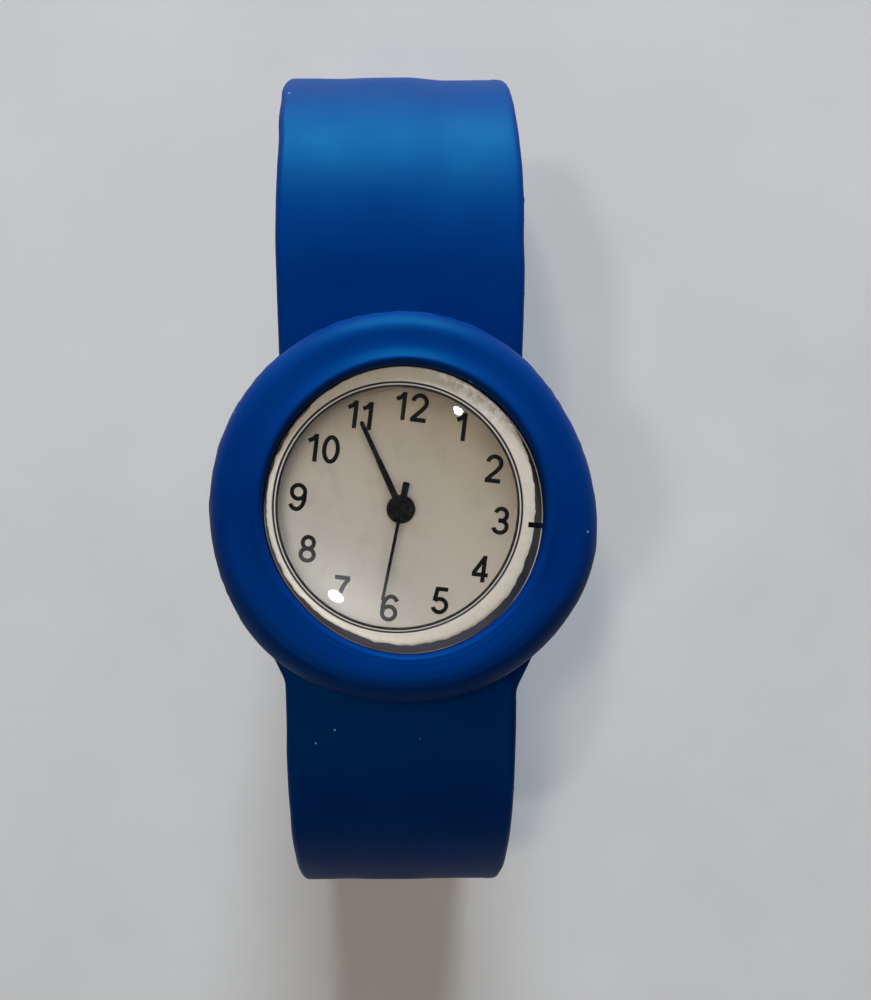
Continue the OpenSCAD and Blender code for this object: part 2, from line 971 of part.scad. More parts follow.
module cannon_pinion() {
    color([0.7, 0.7, 0.72])
        head()
            difference() {
                union() {
                    gear(cannon_leaves, cannon_module, cannon_phase, cannon_z, cannon_h);
                    post(cannon_out, cannon_z, minute_z + hand_t + leaf_over);
                }
                post(cannon_in, plate_top - over, minute_z + hand_t + over);
            }
}

module minute_wheel() {
    color([0.8, 0.65, 0.3])
        head()
            translate(minute_at)
                difference() {
                    union() {
                        gear(minute_teeth, cannon_module, minute_phase, layer_m, wheel_t);
                        gear(minute_leaves, hour_module, minute_phase, layer_m, motion_h);
                    }
                    post(minute_post + run_gap, plate_top - over, dial_z);
                }
}

module hour_wheel() {
    color([0.8, 0.65, 0.3])
        head()
            difference() {
                union() {
                    gear(hour_teeth, hour_module, hour_phase, layer_h, wheel_t);
                    post(hour_out, layer_h, hour_z + hand_t + 2 * seat_gap);
                }
                post(hour_in, layer_h - over, hour_z + hand_t + over);
            }
}

module dial_washer() {
    color([0.8, 0.68, 0.35])
        head()
            tube(
                hour_out + washer_gap, hour_out + washer_gap + washer_w,
                layer_h + wheel_t + washer_gap, washer_t
            );
}

module battery() {
    color([0.78, 0.79, 0.8])
        head()
            translate(cell_at)
                union() {
                    post(cell_d / 2, cell_z, cell_z + cell_h - cell_rim);
                    post(cell_d / 2 - cell_step, cell_z, cell_z + cell_h);
                }
}

module battery_clip() {
    color([0.75, 0.72, 0.6])
        head()
            rotate([0, 0, cell_dir])
                translate([cell_dist - clip_w / 2, -cell_d / 2 - clip_arm, bridge_z])
                    union() {
                        cube([clip_w, cell_d + 2 * clip_arm, clip_t]);
                        for (y = [0, cell_d + 2 * clip_arm - clip_arm_t])
                            translate([0, y, 0])
                                cube([clip_w, clip_arm_t, plate_z - bridge_z - seat_gap]);
                    }
}

module battery_contact() {
    color([0.75, 0.72, 0.6])
        head()
            rotate([0, 0, cell_dir])
                translate([cell_dist - contact_w / 2, -contact_len / 2, cell_z + cell_h + seat_gap])
                    cube([contact_w, contact_len, contact_t]);
}

// Hub and tapered pointer of a hand, pointing along +X
module pointer(length, w0, w1, hub, bore) {
    difference() {
        union() {
            linear_extrude(height = hand_t)
                polygon([[0, -w0 / 2], [length, -w1 / 2], [length, w1 / 2], [0, w0 / 2]]);
            cylinder(r = hub, h = hand_t);
        }
        translate([0, 0, -over])
            cylinder(r = bore, h = hand_t + 2 * over);
    }
}

module hour_hand() {
    color([0.04, 0.04, 0.045])
        head()
            translate([0, 0, hour_z])
                rotate([0, 0, hour_angle])
                    pointer(hour_len, hand_w * 1.2, hand_w, hub_r, hour_out + seat_gap);
}

module minute_hand() {
    color([0.04, 0.04, 0.045])
        head()
            translate([0, 0, minute_z])
                rotate([0, 0, minute_angle])
                    pointer(minute_len, hand_w, hand_w * 0.78, hub_r - hub_step, cannon_out + seat_gap);
}

module second_hand() {
    tail_w = 2 * second_w;
    color([0.04, 0.04, 0.045])
        head()
            translate([0, 0, second_z])
                rotate([0, 0, second_angle])
                    union() {
                        pointer(second_len, second_w, second_w, cap_hub, second_arbor + seat_gap);
                        translate([-second_tail, -tail_w / 2, 0])
                            cube([second_tail - tail_in, tail_w, hand_t]);
                        post(cap_r, hand_t + cap_rise, hand_t + cap_rise + cap_h);
                        tube(cap_in, cap_r, hand_t - lap, cap_h);
                    }
}

module stem() {
    end = crown_in + stem_seat;
    color([0.68, 0.69, 0.7])
        head()
            difference() {
                on_stem(stem_in)
                    cylinder(r = stem_r, h = end - stem_in);
                on_stem(groove_x - groove_w / 2)
                    difference() {
                        cylinder(r = stem_r + over, h = groove_w);
                        translate([0, 0, -over])
                            cylinder(r = groove_r, h = groove_w + 2 * over);
                    }
            }
}

module crown() {
    flutes = 18;
    color([0.72, 0.75, 0.78])
        head()
            on_stem(crown_in)
                difference() {
                    cylinder(r = crown_r, h = crown_len);
                    translate([0, 0, -over])
                        cylinder(r = stem_r + seat_gap, h = over + stem_seat + crown_flush);
                    for (i = [0:flutes - 1])
                        rotate([0, 0, i * 360 / flutes])
                            translate([crown_r + flute_out, 0, -over])
                                cylinder(r = flute_r, h = crown_len + 2 * over);
                }
}

module sliding_pinion() {
    color([0.7, 0.71, 0.72])
        head()
            on_stem(stem_in + pinion_in)
                difference() {
                    linear_extrude(height = pinion_len)
                        polygon(teeth(pinion_teeth, pinion_module, 0));
                    translate([0, 0, -over])
                        cylinder(r = stem_r + seat_gap, h = pinion_len + 2 * over);
                }
}

module setting_lever() {
    slot = groove_r + run_gap;
    color([0.66, 0.67, 0.68])
        head()
            difference() {
                translate([groove_x - lever_t / 2, lever_side - lever_len, stem_z - lever_low])
                    cube([lever_t, lever_len, lever_h]);
                on_stem(groove_x - over)
                    cylinder(r = slot, h = 2 * over);
                translate([groove_x - over, -slot, stem_z])
                    cube([2 * over, 2 * slot, 2 * over]);
            }
}

band_centre();
spring_centre();
upper_band(1);  // upper_band_1
upper_band(2);  // upper_band_2
upper_band(3);  // upper_band_3
upper_band(4);  // upper_band_4
upper_band(5);  // upper_band_5
upper_band(6);  // upper_band_6
lower_band(1);  // lower_band_1
lower_band(2);  // lower_band_2
lower_band(3);  // lower_band_3
lower_band(4);  // lower_band_4
lower_band(5);  // lower_band_5
lower_band(6);  // lower_band_6
upper_spring(1);  // upper_spring_1
upper_spring(2);  // upper_spring_2
upper_spring(3);  // upper_spring_3
upper_spring(4);  // upper_spring_4
upper_spring(5);  // upper_spring_5
upper_spring(6);  // upper_spring_6
lower_spring(1);  // lower_spring_1
lower_spring(2);  // lower_spring_2
lower_spring(3);  // lower_spring_3
lower_spring(4);  // lower_spring_4
lower_spring(5);  // lower_spring_5
lower_spring(6);  // lower_spring_6
watch_case();
crystal();
crystal_seal();
case_back();
case_back_gasket();
dial();
movement_holder();
main_plate();
train_bridge();
movement_screws();
circuit_board();
quartz_can();
coil();
coil_core();
stator();
rotor();
intermediate_wheel();
seconds_wheel();
third_wheel();
centre_wheel();
cannon_pinion();
minute_wheel();
hour_wheel();
dial_washer();
battery();
battery_clip();
battery_contact();
hour_hand();
minute_hand();
second_hand();
stem();
crown();
sliding_pinion();
setting_lever();
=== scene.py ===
# %% [markdown]
# # A slap-band watch
# This lesson rebuilds a blue silicone slap-band watch. The real one is silicone moulded around a sprung steel strip,
# with a small chromed watch head pushed into a ring on top. It could all be modelled freely by eye, but the packed
# construction model is loaded first as a fixed frame, so that every piece sits in that frame; all but the curled
# lengths of band ride on its bodies.

# %% Load the frame
import json
import math

import bpy
import bmesh
import numpy as np
from mathutils import Matrix, Vector

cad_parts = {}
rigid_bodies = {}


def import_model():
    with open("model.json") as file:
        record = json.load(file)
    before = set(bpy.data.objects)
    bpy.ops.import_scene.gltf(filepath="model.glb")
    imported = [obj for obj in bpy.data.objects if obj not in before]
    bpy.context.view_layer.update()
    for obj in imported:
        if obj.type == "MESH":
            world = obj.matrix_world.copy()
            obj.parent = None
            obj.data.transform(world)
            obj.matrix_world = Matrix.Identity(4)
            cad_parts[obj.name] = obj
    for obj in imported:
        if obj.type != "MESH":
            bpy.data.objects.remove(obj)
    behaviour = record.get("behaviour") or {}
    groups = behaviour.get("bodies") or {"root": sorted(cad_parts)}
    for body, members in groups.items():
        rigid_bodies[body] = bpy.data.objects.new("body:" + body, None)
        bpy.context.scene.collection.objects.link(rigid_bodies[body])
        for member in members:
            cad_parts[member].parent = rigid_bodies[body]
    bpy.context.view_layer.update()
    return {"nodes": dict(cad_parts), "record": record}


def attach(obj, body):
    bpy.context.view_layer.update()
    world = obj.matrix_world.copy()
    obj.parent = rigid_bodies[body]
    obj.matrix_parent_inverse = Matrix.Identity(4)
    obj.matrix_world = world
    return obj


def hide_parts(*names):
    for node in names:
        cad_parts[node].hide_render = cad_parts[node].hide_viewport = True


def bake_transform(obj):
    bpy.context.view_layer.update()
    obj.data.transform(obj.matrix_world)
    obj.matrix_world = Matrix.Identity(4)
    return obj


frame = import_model()
MM = 0.001

# %% [markdown]
# ## Sizes
# A designer writes each size once. The sizes could be measured from the loaded solids, but named values read better,
# so these repeat the construction model's sizes in millimetres: the band's loop, the ring, the levels inside the head
# and the hands. Each visual piece then lands on the solid it stands for.

# %% Sizes
# The band's loop, and the height of its outer face on top, where the ring and the head stand
BEND_R, FLAT_HALF, BAND_W, BAND_T, END_LEN, LINKS = 28.0, 24.5, 26.0, 3.0, 8.0, 6
ARC = math.pi * BEND_R
DECK = 2 * BEND_R
# The head, with its levels above the deck
CASE_R, BORE_R, SIGHT_R = 14.3, 12.6, 11.7
CRYSTAL_R = SIGHT_R + 0.4
CRYSTAL_V, SIGHT_V = CRYSTAL_R + 0.04, CRYSTAL_R + 0.06
CROWN_Z, DIAL_TOP, SEAT_Z, CASE_TOP, CRYSTAL_EDGE_Z = 1.95, 4.66, 5.66, 6.51, 6.56
HOUR_Z, MINUTE_Z, SECOND_Z, HAND_T = 4.81, 5.15, 5.49, 0.16
DIAL_TURN = math.radians(-7)
# The ring, whose pocket holds the case
RING_R, ROLL_R, ROLL_H, RING_H, BEAD_R, HOLLOW_R, FOOT_DROP = 20.0, 2.8, 3.7, 7.2, 0.6, 8.0, 1.6
POCKET_R = CASE_R + 0.08
LIP_R = POCKET_R + 0.06
print("band length on its outer skin", round(2 * (FLAT_HALF + ARC + END_LEN), 1), "mm")

# %% [markdown]
# ## Camera
# The photograph looks almost straight down on the dial from about ten centimetres away, so the band narrows strongly
# towards both horizons. The view could be framed by hand. Here the place and the three small turns are numbers that
# were fitted to the outlines, and a small lens shift places the ring left of the middle of the picture.

# %% Camera
DISTANCE, LOOK_AT_Z = 95.0, 3.8
PITCH, YAW, ROLL = (math.radians(v) for v in (7.92, -0.40, 0.33))
SENSOR, LENS_SHARE = 36.0, 0.9104
eye = Vector((-1.28, 3.64, DECK + LOOK_AT_Z + DISTANCE)) * MM
forward = Vector((0, -math.sin(PITCH), -math.cos(PITCH)))
up = Vector((0, math.cos(PITCH), -math.sin(PITCH)))
side = forward.cross(up)
forward, side = (forward * math.cos(YAW) + side * math.sin(YAW),
                 side * math.cos(YAW) - forward * math.sin(YAW))
up, side = (up * math.cos(ROLL) + side * math.sin(ROLL),
            side * math.cos(ROLL) - up * math.sin(ROLL))
camera = bpy.data.objects.new("camera", bpy.data.cameras.new("camera"))
bpy.context.scene.collection.objects.link(camera)
camera.matrix_world = Matrix(((*side, 0), (*up, 0), (*-forward, 0), (*eye, 1))).transposed()
camera.data.sensor_fit = "VERTICAL"
camera.data.sensor_height = SENSOR
camera.data.lens = SENSOR * LENS_SHARE
camera.data.shift_x, camera.data.shift_y = 0.053, 0.100
camera.data.clip_start = 0.005
bpy.context.scene.camera = camera
print("camera", [round(c * 1000, 1) for c in eye], "mm, lens", round(camera.data.lens, 2))

# %% [markdown]
# ## Nodes with short words
# Every finish, and later every shape that follows a rule, is a tree of nodes. A tree could be drawn by hand in the
# editor, but written down it can be read and made again. This helper gives short words to the few nodes that the
# trees share: noise, a range spread to another range, a mix of two tones and plain arithmetic.

# %% Node helper
class Nodes:
    def __init__(self, tree):
        self.tree = tree

    def feed(self, socket, value):
        # Another node's output is linked; a number or a colour is set on the socket itself
        if hasattr(value, "is_linked"):
            self.tree.links.new(value, socket)
        else:
            socket.default_value = value

    def add(self, kind, inputs=None, **settings):
        node = self.tree.nodes.new(kind)
        for label, value in settings.items():
            setattr(node, label, value)
        for label, value in (inputs or {}).items():
            self.feed(node.inputs[label], value)
        return node

    def noise(self, where, scale, detail=4.0, rough=0.55):
        sizes = {"Vector": where, "Scale": scale, "Detail": detail, "Roughness": rough}
        return self.add("ShaderNodeTexNoise", sizes).outputs["Fac"]

    def spread(self, value, low, high, out_low=0.0, out_high=1.0):
        ends = {"Value": value, "From Min": low, "From Max": high, "To Min": out_low, "To Max": out_high}
        return self.add("ShaderNodeMapRange", ends).outputs["Result"]

    def mix(self, factor, first, second):
        a, b = (tone if hasattr(tone, "is_linked") else (*tone, 1.0) for tone in (first, second))
        return self.add("ShaderNodeMix", {0: factor, 6: a, 7: b}, data_type="RGBA").outputs[2]

    def maths(self, operation, *values):
        return self.add("ShaderNodeMath", dict(enumerate(values)), operation=operation).outputs[0]

    def measure(self, operation, first, second):
        return self.add("ShaderNodeVectorMath", {0: first, 1: second}, operation=operation).outputs["Value"]

    def parts(self, vector):
        return self.add("ShaderNodeSeparateXYZ", {"Vector": vector}).outputs

    def vector(self, **parts):
        return self.add("ShaderNodeCombineXYZ", parts).outputs["Vector"]


print("node words", [word for word in vars(Nodes) if not word.startswith("_")])

# %% [markdown]
# ## Materials
# Real surfaces are never one flat colour. The common case is two tones mixed by noise, a roughness that wanders
# between two values and a fine bump. It could be painted as an image, but a rule has no edge and stays sharp close
# up. The pattern's place comes from the piece's own coordinates, so it stays on the piece when that moves.

# %% Material helper
MIDDLE = (0.3, 0.7)


class Finish(Nodes):
    def __init__(self, name):
        self.material = bpy.data.materials.new(name)
        self.material.use_nodes = True
        super().__init__(self.material.node_tree)
        self.tree.nodes.clear()
        self.shader = self.add("ShaderNodeBsdfPrincipled")
        self.add("ShaderNodeOutputMaterial", {"Surface": self.shader.outputs["BSDF"]})

    def place(self):
        return self.add("ShaderNodeTexCoord").outputs["Object"]

    def attribute(self, name):
        return self.add("ShaderNodeAttribute", attribute_name=name).outputs

    def bump(self, height, strength, depth):
        ends = {"Height": height, "Strength": strength, "Distance": depth}
        return self.add("ShaderNodeBump", ends).outputs["Normal"]

    def done(self, surface):
        for label, value in surface.items():
            self.feed(self.shader.inputs[label], value)
        return self.material


def plain(name, dark, light, metallic=0.0, rough=(0.3, 0.45), scale=900.0, relief=0.00002, shine=0.5):
    finish = Finish(name)
    where = finish.place()
    broad = finish.noise(where, scale)
    return finish.done({
        "Base Color": finish.mix(finish.spread(broad, *MIDDLE), dark, light),
        "Roughness": finish.spread(broad, *MIDDLE, *rough),
        "Metallic": metallic,
        "Specular IOR Level": shine,
        "Normal": finish.bump(finish.noise(where, scale * 6, 2.0), 0.25, relief),
    })


print("finish words", [word for word in vars(Finish) if not word.startswith("_")])

# %% [markdown]
# ## Silicone
# The band is a deep blue silicone with a satin skin, a slow cloud in its tone and a few tiny pale specks of dust. The
# specks could be modelled, but they have no thickness, so a pattern of cells gives one dot to each cell and only the
# rare cell keeps it. The pattern reads the place in the mould, which doesn't change when the band uncurls.

# %% Silicone
def silicone():
    finish = Finish("silicone")
    where = finish.attribute("moulded")["Vector"]
    cloud = finish.noise(where, 90.0, 3.0)
    tone = finish.mix(finish.spread(cloud, *MIDDLE), (0.0000, 0.0160, 0.110), (0.0001, 0.0200, 0.130))
    cells = finish.add("ShaderNodeTexVoronoi", {"Vector": where, "Scale": 420.0}).outputs
    dot = finish.spread(cells["Distance"], 0.035, 0.065, 1, 0)
    draw = finish.add("ShaderNodeSeparateColor", {"Color": cells["Color"]}).outputs["Red"]
    speck = finish.maths("MULTIPLY", dot, finish.spread(draw, 0.86, 0.87))
    return finish.done({
        "Base Color": finish.mix(speck, tone, (0.20, 0.30, 0.45)),
        "Roughness": finish.spread(cloud, *MIDDLE, 0.46, 0.56),
        "IOR": 1.42,
        "Specular IOR Level": 0.15,
        "Specular Tint": (0.0, 0.9, 1.0, 1.0),
        "Normal": finish.bump(finish.noise(where, 5200.0, 2.0), 0.18, 0.00002),
    })


SILICONE = silicone()
print("made", SILICONE.name)

# %% [markdown]
# ## Chrome
# The case is plated. Its top is ground and warm in tone and its bevel polished; the bevel's dark grey is painted
# shade, darker on the right, and a white patch at the rim's edge near 1 o'clock is a painted glint. Three materials
# could share the case, but their borders would be hard lines, so one material chooses by the way that the surface
# faces and by its place.

# %% Chrome
def chrome():
    finish = Finish("chrome_case")
    where = finish.place()
    wear_and_glint = finish.noise(where, 1500.0, 6.0, 0.7)
    facing = finish.parts(finish.add("ShaderNodeNewGeometry").outputs["Normal"])["Z"]
    top = finish.spread(facing, 0.88, 0.96)
    ground = finish.spread(wear_and_glint, 0.35, 0.65, 0.28, 0.44)
    polish = finish.spread(wear_and_glint, *MIDDLE, 0.28, 0.42)
    ground_tone = finish.mix(finish.spread(wear_and_glint, 0.35, 0.65), (0.69, 0.635, 0.535), (0.75, 0.69, 0.60))
    # A white patch at the rim's edge near 1 o'clock, broken up by the noise, is a painted glint
    towards_one = finish.measure("DOT_PRODUCT", where, (0.61, 0.79, 0.0))
    painted_glint = finish.maths("MULTIPLY", finish.spread(towards_one, 0.0122, 0.0134), finish.spread(wear_and_glint, 0.44, 0.56))
    ground_tone = finish.mix(painted_glint, ground_tone, (0.98, 0.98, 0.97))
    # The bevel's dark grey is painted shade, darker still on the right
    right = finish.spread(finish.parts(where)["X"], 0.0085, 0.0125)
    bevel_painted_shade = finish.mix(right, (0.235, 0.225, 0.21), (0.08, 0.076, 0.07))
    return finish.done({
        "Base Color": finish.mix(top, bevel_painted_shade, ground_tone),
        "Roughness": finish.add("ShaderNodeMix", {0: top, 2: polish, 3: ground}).outputs[0],
        "Metallic": 0.35,
        "Normal": finish.bump(wear_and_glint, 0.35, 0.00004),
    })


CHROME = chrome()
print("made", CHROME.name)

# %% [markdown]
# ## Crystal, dial and seal
# The crystal is clear plastic. The dial is aged white card with faint stains, and a painted gradient of light makes it
# darker and yellower towards 1 o'clock as painted shade and paler towards 7 as painted glare.
# The black seal has a thin worn line. An image could carry such marks, but a slope across the dial, noise and the
# distance from the middle do the same and stay sharp at any size.

# %% Crystal, dial and seal
def crystal_material():
    finish = Finish("clear_crystal")
    smear = finish.noise(finish.place(), 260.0, 5.0, 0.6)
    return finish.done({
        "Base Color": finish.mix(smear, (0.94, 0.95, 0.95), (0.99, 0.99, 0.99)),
        "Roughness": 0.0,
        "Transmission Weight": 1.0,
        "IOR": 1.46,
    })


def dial_material():
    finish = Finish("white_dial")
    where = finish.place()
    # Painted shade and glare: darker and yellower towards 1 o'clock, paler towards 7
    painted_light_slope = finish.measure("DOT_PRODUCT", where, (0.5, 0.87, 0.0))
    tone = finish.mix(finish.spread(painted_light_slope, -0.010, 0.010), (0.92, 0.865, 0.775), (0.68, 0.565, 0.412))
    stain = finish.spread(finish.noise(where, 420.0, 5.0, 0.65), 0.52, 0.74, 0, 0.22)
    return finish.done({
        "Base Color": finish.mix(stain, tone, (0.42, 0.34, 0.25)),
        "Roughness": finish.spread(finish.noise(where, 160.0), *MIDDLE, 0.5, 0.65),
        "Normal": finish.bump(finish.noise(where, 2400.0, 2.0), 0.2, 0.00001),
    })


def seal_material():
    finish = Finish("black_seal")
    grime = finish.noise(finish.place(), 1500.0)
    worn = finish.maths("COMPARE", finish.attribute("radius")["Fac"], CRYSTAL_R + 0.32, 0.07)
    return finish.done({
        "Base Color": finish.mix(worn, (0.008, 0.008, 0.008), (0.42, 0.40, 0.36)),
        "Roughness": finish.spread(grime, *MIDDLE, 0.35, 0.6),
        "Normal": finish.bump(grime, 0.25, 0.00002),
    })


CRYSTAL = crystal_material()
DIAL = dial_material()
SEAL = seal_material()
print("made", CRYSTAL.name, DIAL.name, SEAL.name)

# %% [markdown]
# ## Ink, lacquer and the metals of the works
# The figures are black ink and the hands a shinier black lacquer. The works inside are steel, brass, copper and
# plastics. They differ only in tone, gloss and grain, so a table with one row each is enough, and each node of the
# frame gets the finish that its material slot names.

# %% Ink, lacquer and works
INK = plain("black_print", (0.006, 0.006, 0.006), (0.014, 0.013, 0.012), rough=(0.4, 0.6), scale=1800.0, shine=0.1)
HANDS = plain("black_hands", (0.003, 0.003, 0.003), (0.009, 0.008, 0.007), rough=(0.14, 0.40), scale=2600.0,
              relief=0.00008, shine=0.28)
RUBBER = plain("black_rubber", (0.010, 0.010, 0.011), (0.022, 0.022, 0.023), rough=(0.35, 0.6), scale=1500.0)
WORKS = {
    "spring_steel": ((0.50, 0.51, 0.53), (0.66, 0.67, 0.69), 1.0, (0.22, 0.36), 700.0),
    "steel": ((0.50, 0.50, 0.51), (0.66, 0.66, 0.67), 1.0, (0.25, 0.4), 1400.0),
    "white_plastic": ((0.66, 0.65, 0.60), (0.76, 0.75, 0.71), 0.0, (0.4, 0.55)),
    "dark_plastic": ((0.025, 0.025, 0.028), (0.045, 0.045, 0.05), 0.0, (0.4, 0.6)),
    "green_board": ((0.008, 0.075, 0.030), (0.012, 0.110, 0.045), 0.0, (0.3, 0.45)),
    "copper_wire": ((0.48, 0.16, 0.06), (0.66, 0.27, 0.12), 1.0, (0.28, 0.4), 2600.0),
    "soft_iron": ((0.26, 0.26, 0.27), (0.38, 0.38, 0.40), 1.0, (0.35, 0.5), 1200.0),
    "brass": ((0.56, 0.38, 0.12), (0.72, 0.53, 0.22), 1.0, (0.2, 0.34), 1600.0),
    "contact_metal": ((0.56, 0.52, 0.40), (0.70, 0.66, 0.54), 1.0, (0.22, 0.36), 1600.0),
}
BY_SLOT = {name: plain(name, *row) for name, row in WORKS.items()}
BY_SLOT.update(silicone=SILICONE, chrome_case=CHROME, clear_crystal=CRYSTAL, black_rubber=RUBBER, white_dial=DIAL,
               black_hands=HANDS)
for part in frame["record"]["subparts"]:
    shown = frame["nodes"][part["node"]]
    if not shown.data.materials:
        shown.data.materials.append(None)
    for slot in shown.material_slots:
        slot.material = BY_SLOT[part["material_slot"]]
print("materials", len(bpy.data.materials))

# %% [markdown]
# ## Mesh helpers
# Most pieces here are grids: rows of points joined by quads. They could be built with Blender's own Spin and Bridge
# tools, but rows of numbers let a small unevenness go exactly where the real piece has it. One helper closes a tube
# of rows with caps, another sweeps a profile right round. Sizes are in millimetres until the mesh is made.

# %% Mesh helpers
def new_object(name, points, edges=(), faces=()):
    mesh = bpy.data.meshes.new(name)
    mesh.from_pydata((np.asarray(points) * MM).tolist(), edges, faces)
    obj = bpy.data.objects.new(name, mesh)
    bpy.context.scene.collection.objects.link(obj)
    return obj


def shade(obj, sharp=None):
    # Smooth all over; edges that turn by more than the angle in degrees stay sharp
    obj.data.polygons.foreach_set("use_smooth", [True] * len(obj.data.polygons))
    obj.data.update()
    if sharp:
        obj.data.set_sharp_from_angle(angle=math.radians(sharp))


def outward(obj):
    work = bmesh.new()
    work.from_mesh(obj.data)
    bmesh.ops.recalc_face_normals(work, faces=work.faces)
    work.to_mesh(obj.data)
    work.free()
    return obj


def add_mesh(name, points, faces, material):
    obj = new_object(name, points, faces=faces)
    obj.data.materials.append(material)
    shade(obj)
    return obj


def tube_faces(rows, cols, first=0):
    # Quads between rows of a closed section, and a cap on each end
    faces = []
    for here in range(first, first + (rows - 1) * cols, cols):
        for j in range(cols):
            k = (j + 1) % cols
            faces.append((here + j, here + k, here + cols + k, here + cols + j))
    last = first + (rows - 1) * cols
    return faces + [tuple(range(first, first + cols))[::-1], tuple(range(last, last + cols))]


def spin_faces(count, turns):
    # Quads of a closed profile swept right round
    faces = []
    for i in range(turns):
        here, there = i * count, (i + 1) % turns * count
        for j in range(count):
            k = (j + 1) % count
            faces.append((here + j, there + j, there + k, here + k))
    return faces


def full_turn(count):
    return np.linspace(0, 2 * math.pi, count, endpoint=False)


def arc_points(centre, radius, start, end, count):
    t = np.radians(np.linspace(start, end, count))
    return [(centre[0] + radius * math.cos(a), centre[1] + radius * math.sin(a)) for a in t]


print("a tube of three rows of four has", len(tube_faces(3, 4)), "faces")

# %% [markdown]
# ## Rules for unevenness
# A soft, cheap moulding is never quite true: edges sway, the flash is ragged and lips are out of round. Sculpting
# could add that by hand. Here short rules do it: a smooth step, a bell, a seeded wander along a line and a smooth
# closed line through a table, so that every run gives the same watch.

# %% Rules for unevenness
TABLE_LEN, TABLE_MIDDLE = 4096, 2000


def ease(values):
    # A smooth step from 0 to 1
    v = np.clip(values, 0, 1)
    return v * v * (3 - 2 * v)


def bell(values, width):
    return np.exp(-(values / width) ** 2)


def wander(values, seed, step):
    # Smooth noise along a line, between -1 and 1, the same in each run
    table = np.random.default_rng(seed).uniform(-1, 1, TABLE_LEN)
    t = np.asarray(values, float) / step + TABLE_MIDDLE
    i = np.floor(t).astype(int)
    f = ease(t - i)
    return table[i % TABLE_LEN] * (1 - f) + table[(i + 1) % TABLE_LEN] * f


def around(table, t):
    # A smooth closed line through a table of degrees and values
    value = np.interp(np.degrees(t), *zip(*table), period=360)
    for _ in range(8):
        value = (np.roll(value, 3) + 2 * value + np.roll(value, -3)) / 4
    return value


print("a wander of five steps", wander(np.arange(5), 1, 2.0).round(2))

# %% [markdown]
# ## The silicone band, moulded flat
# A slap band is moulded flat and only curls when its spring lets go. A curve with a bevel could draw it curled at
# once, but its details are easier to place while it is flat: a section with rounded edges is repeated along the
# length. The skin sags a little over the steel strip where the band is bent, a low ridge runs along the right edge,
# and the mould leaves a thin ragged line of flash along both sides.

# %% Flat lengths of band
EDGE_OUT, EDGE_IN = 0.8, 0.9
SIDE_DEPTHS = (1.3, 1.6, 1.66, 1.74, 1.82, 1.9, 2.0)
BENT_EARLY, BENT_OVER, SKIN_T = 2, 16, 1.2
SAG, SAG_FROM, SAG_OVER = {1: 0.36, -1: 0.10}, 1.0, 5.0
STRIP_SAG, STRIP_EDGE, STRIP_W = 0.08, 6.8, 2.4
RIDGE_H, RIDGE_IN, RIDGE_W = 0.07, 1.45, 0.22
EDGE_REACH, FLASH_DEPTH, FLASH_W, FLASH_MOST = 1.6, 1.76, 0.13, 0.3
# For each edge its side, the flash's roughness and a shift of the seed
FLASH = ((1, 0.13, 0), (-1, 0.07, 5))
SIDE_SEED = {1: 11, -1: 12}


def section(half):
    # (across, depth) round the band: outer face, right side, inner face, left side
    out, within = half - EDGE_OUT, half - EDGE_IN
    low = BAND_T - EDGE_IN
    pts = [(x, 0.0) for x in np.linspace(-out, out, 46)]
    pts += arc_points((out, -EDGE_OUT), EDGE_OUT, 82, 0, 9)
    pts += [(half, -n) for n in SIDE_DEPTHS]
    pts += arc_points((within, -low), EDGE_IN, -8, -90, 7)
    pts += [(x, -BAND_T) for x in np.linspace(within, -within, 18)[1:-1]]
    pts += arc_points((-within, -low), EDGE_IN, -90, -172, 7)
    pts += [(-half, -n) for n in SIDE_DEPTHS[::-1]]
    pts += arc_points((-out, -EDGE_OUT), EDGE_OUT, 180, 98, 9)
    return np.array([(x, abs(n)) for x, n in pts])


def flat_band(s, sign):
    # Rows of points (across, along, depth) at the lengths s, on the 12 o'clock side for sign 1
    half = BAND_W / 2
    base = section(half)
    s = np.asarray(s, float)
    x, n = (np.repeat(base[None, :, axis], len(s), 0) for axis in (0, 1))
    along = np.repeat(s[:, None], len(base), 1)
    bent = ease((s - FLAT_HALF + BENT_EARLY) / BENT_OVER)[:, None]
    outer = np.clip(1 - n / SKIN_T, 0, 1)
    sag = SAG[sign] * ease((x - SAG_FROM) / SAG_OVER) + STRIP_SAG * bell(x + STRIP_EDGE, STRIP_W)
    n = n + bent * sag * outer
    n = n - RIDGE_H * bell(x - half + RIDGE_IN, RIDGE_W) * outer
    for edge, rough, shift in FLASH:
        seed = SIDE_SEED[sign] + shift
        on = (np.sign(x) == edge) & (np.abs(x) > half - EDGE_REACH)
        sway = 0.16 * wander(s, seed, 13.0) + 0.07 * wander(s, seed + 20, 4.0)
        ragged = 0.4 + wander(s, seed + 40, 0.9) + 0.7 * wander(s, seed + 60, 0.35)
        flash = np.clip(rough * ragged, 0, FLASH_MOST)
        ridge = bell(n - FLASH_DEPTH, FLASH_W)
        x = np.where(on, x + edge * (sway[:, None] + flash[:, None] * ridge), x)
    return np.stack([x, along, n], -1)


def skin_normals(grid):
    # Normals of the inner rows, from their neighbours, so that adjoining lengths shade as one
    across = np.roll(grid, -1, 1) - np.roll(grid, 1, 1)
    length = np.zeros_like(grid)
    length[1:-1] = grid[2:] - grid[:-2]
    normal = np.cross(length * [1, 1, -1], across * [1, 1, -1])
    normal /= np.maximum(np.linalg.norm(normal, axis=-1, keepdims=True), 1e-9)
    return -normal[1:-1]


probe = flat_band(np.linspace(0, 4, 5), 1)
print("section points", probe.shape[1], "outer face looks", skin_normals(probe)[1, 20].round(2))

# %% [markdown]
# ## Trees of Geometry Nodes
# Two things on this watch follow a rule: the curl of the band and the figures round the dial. Loops in the script
# could do both, but a node tree can be opened and its sizes tried by hand. Each tree has a named input for every size
# and ends by making instances real and setting the material; the result is then kept as a plain mesh.

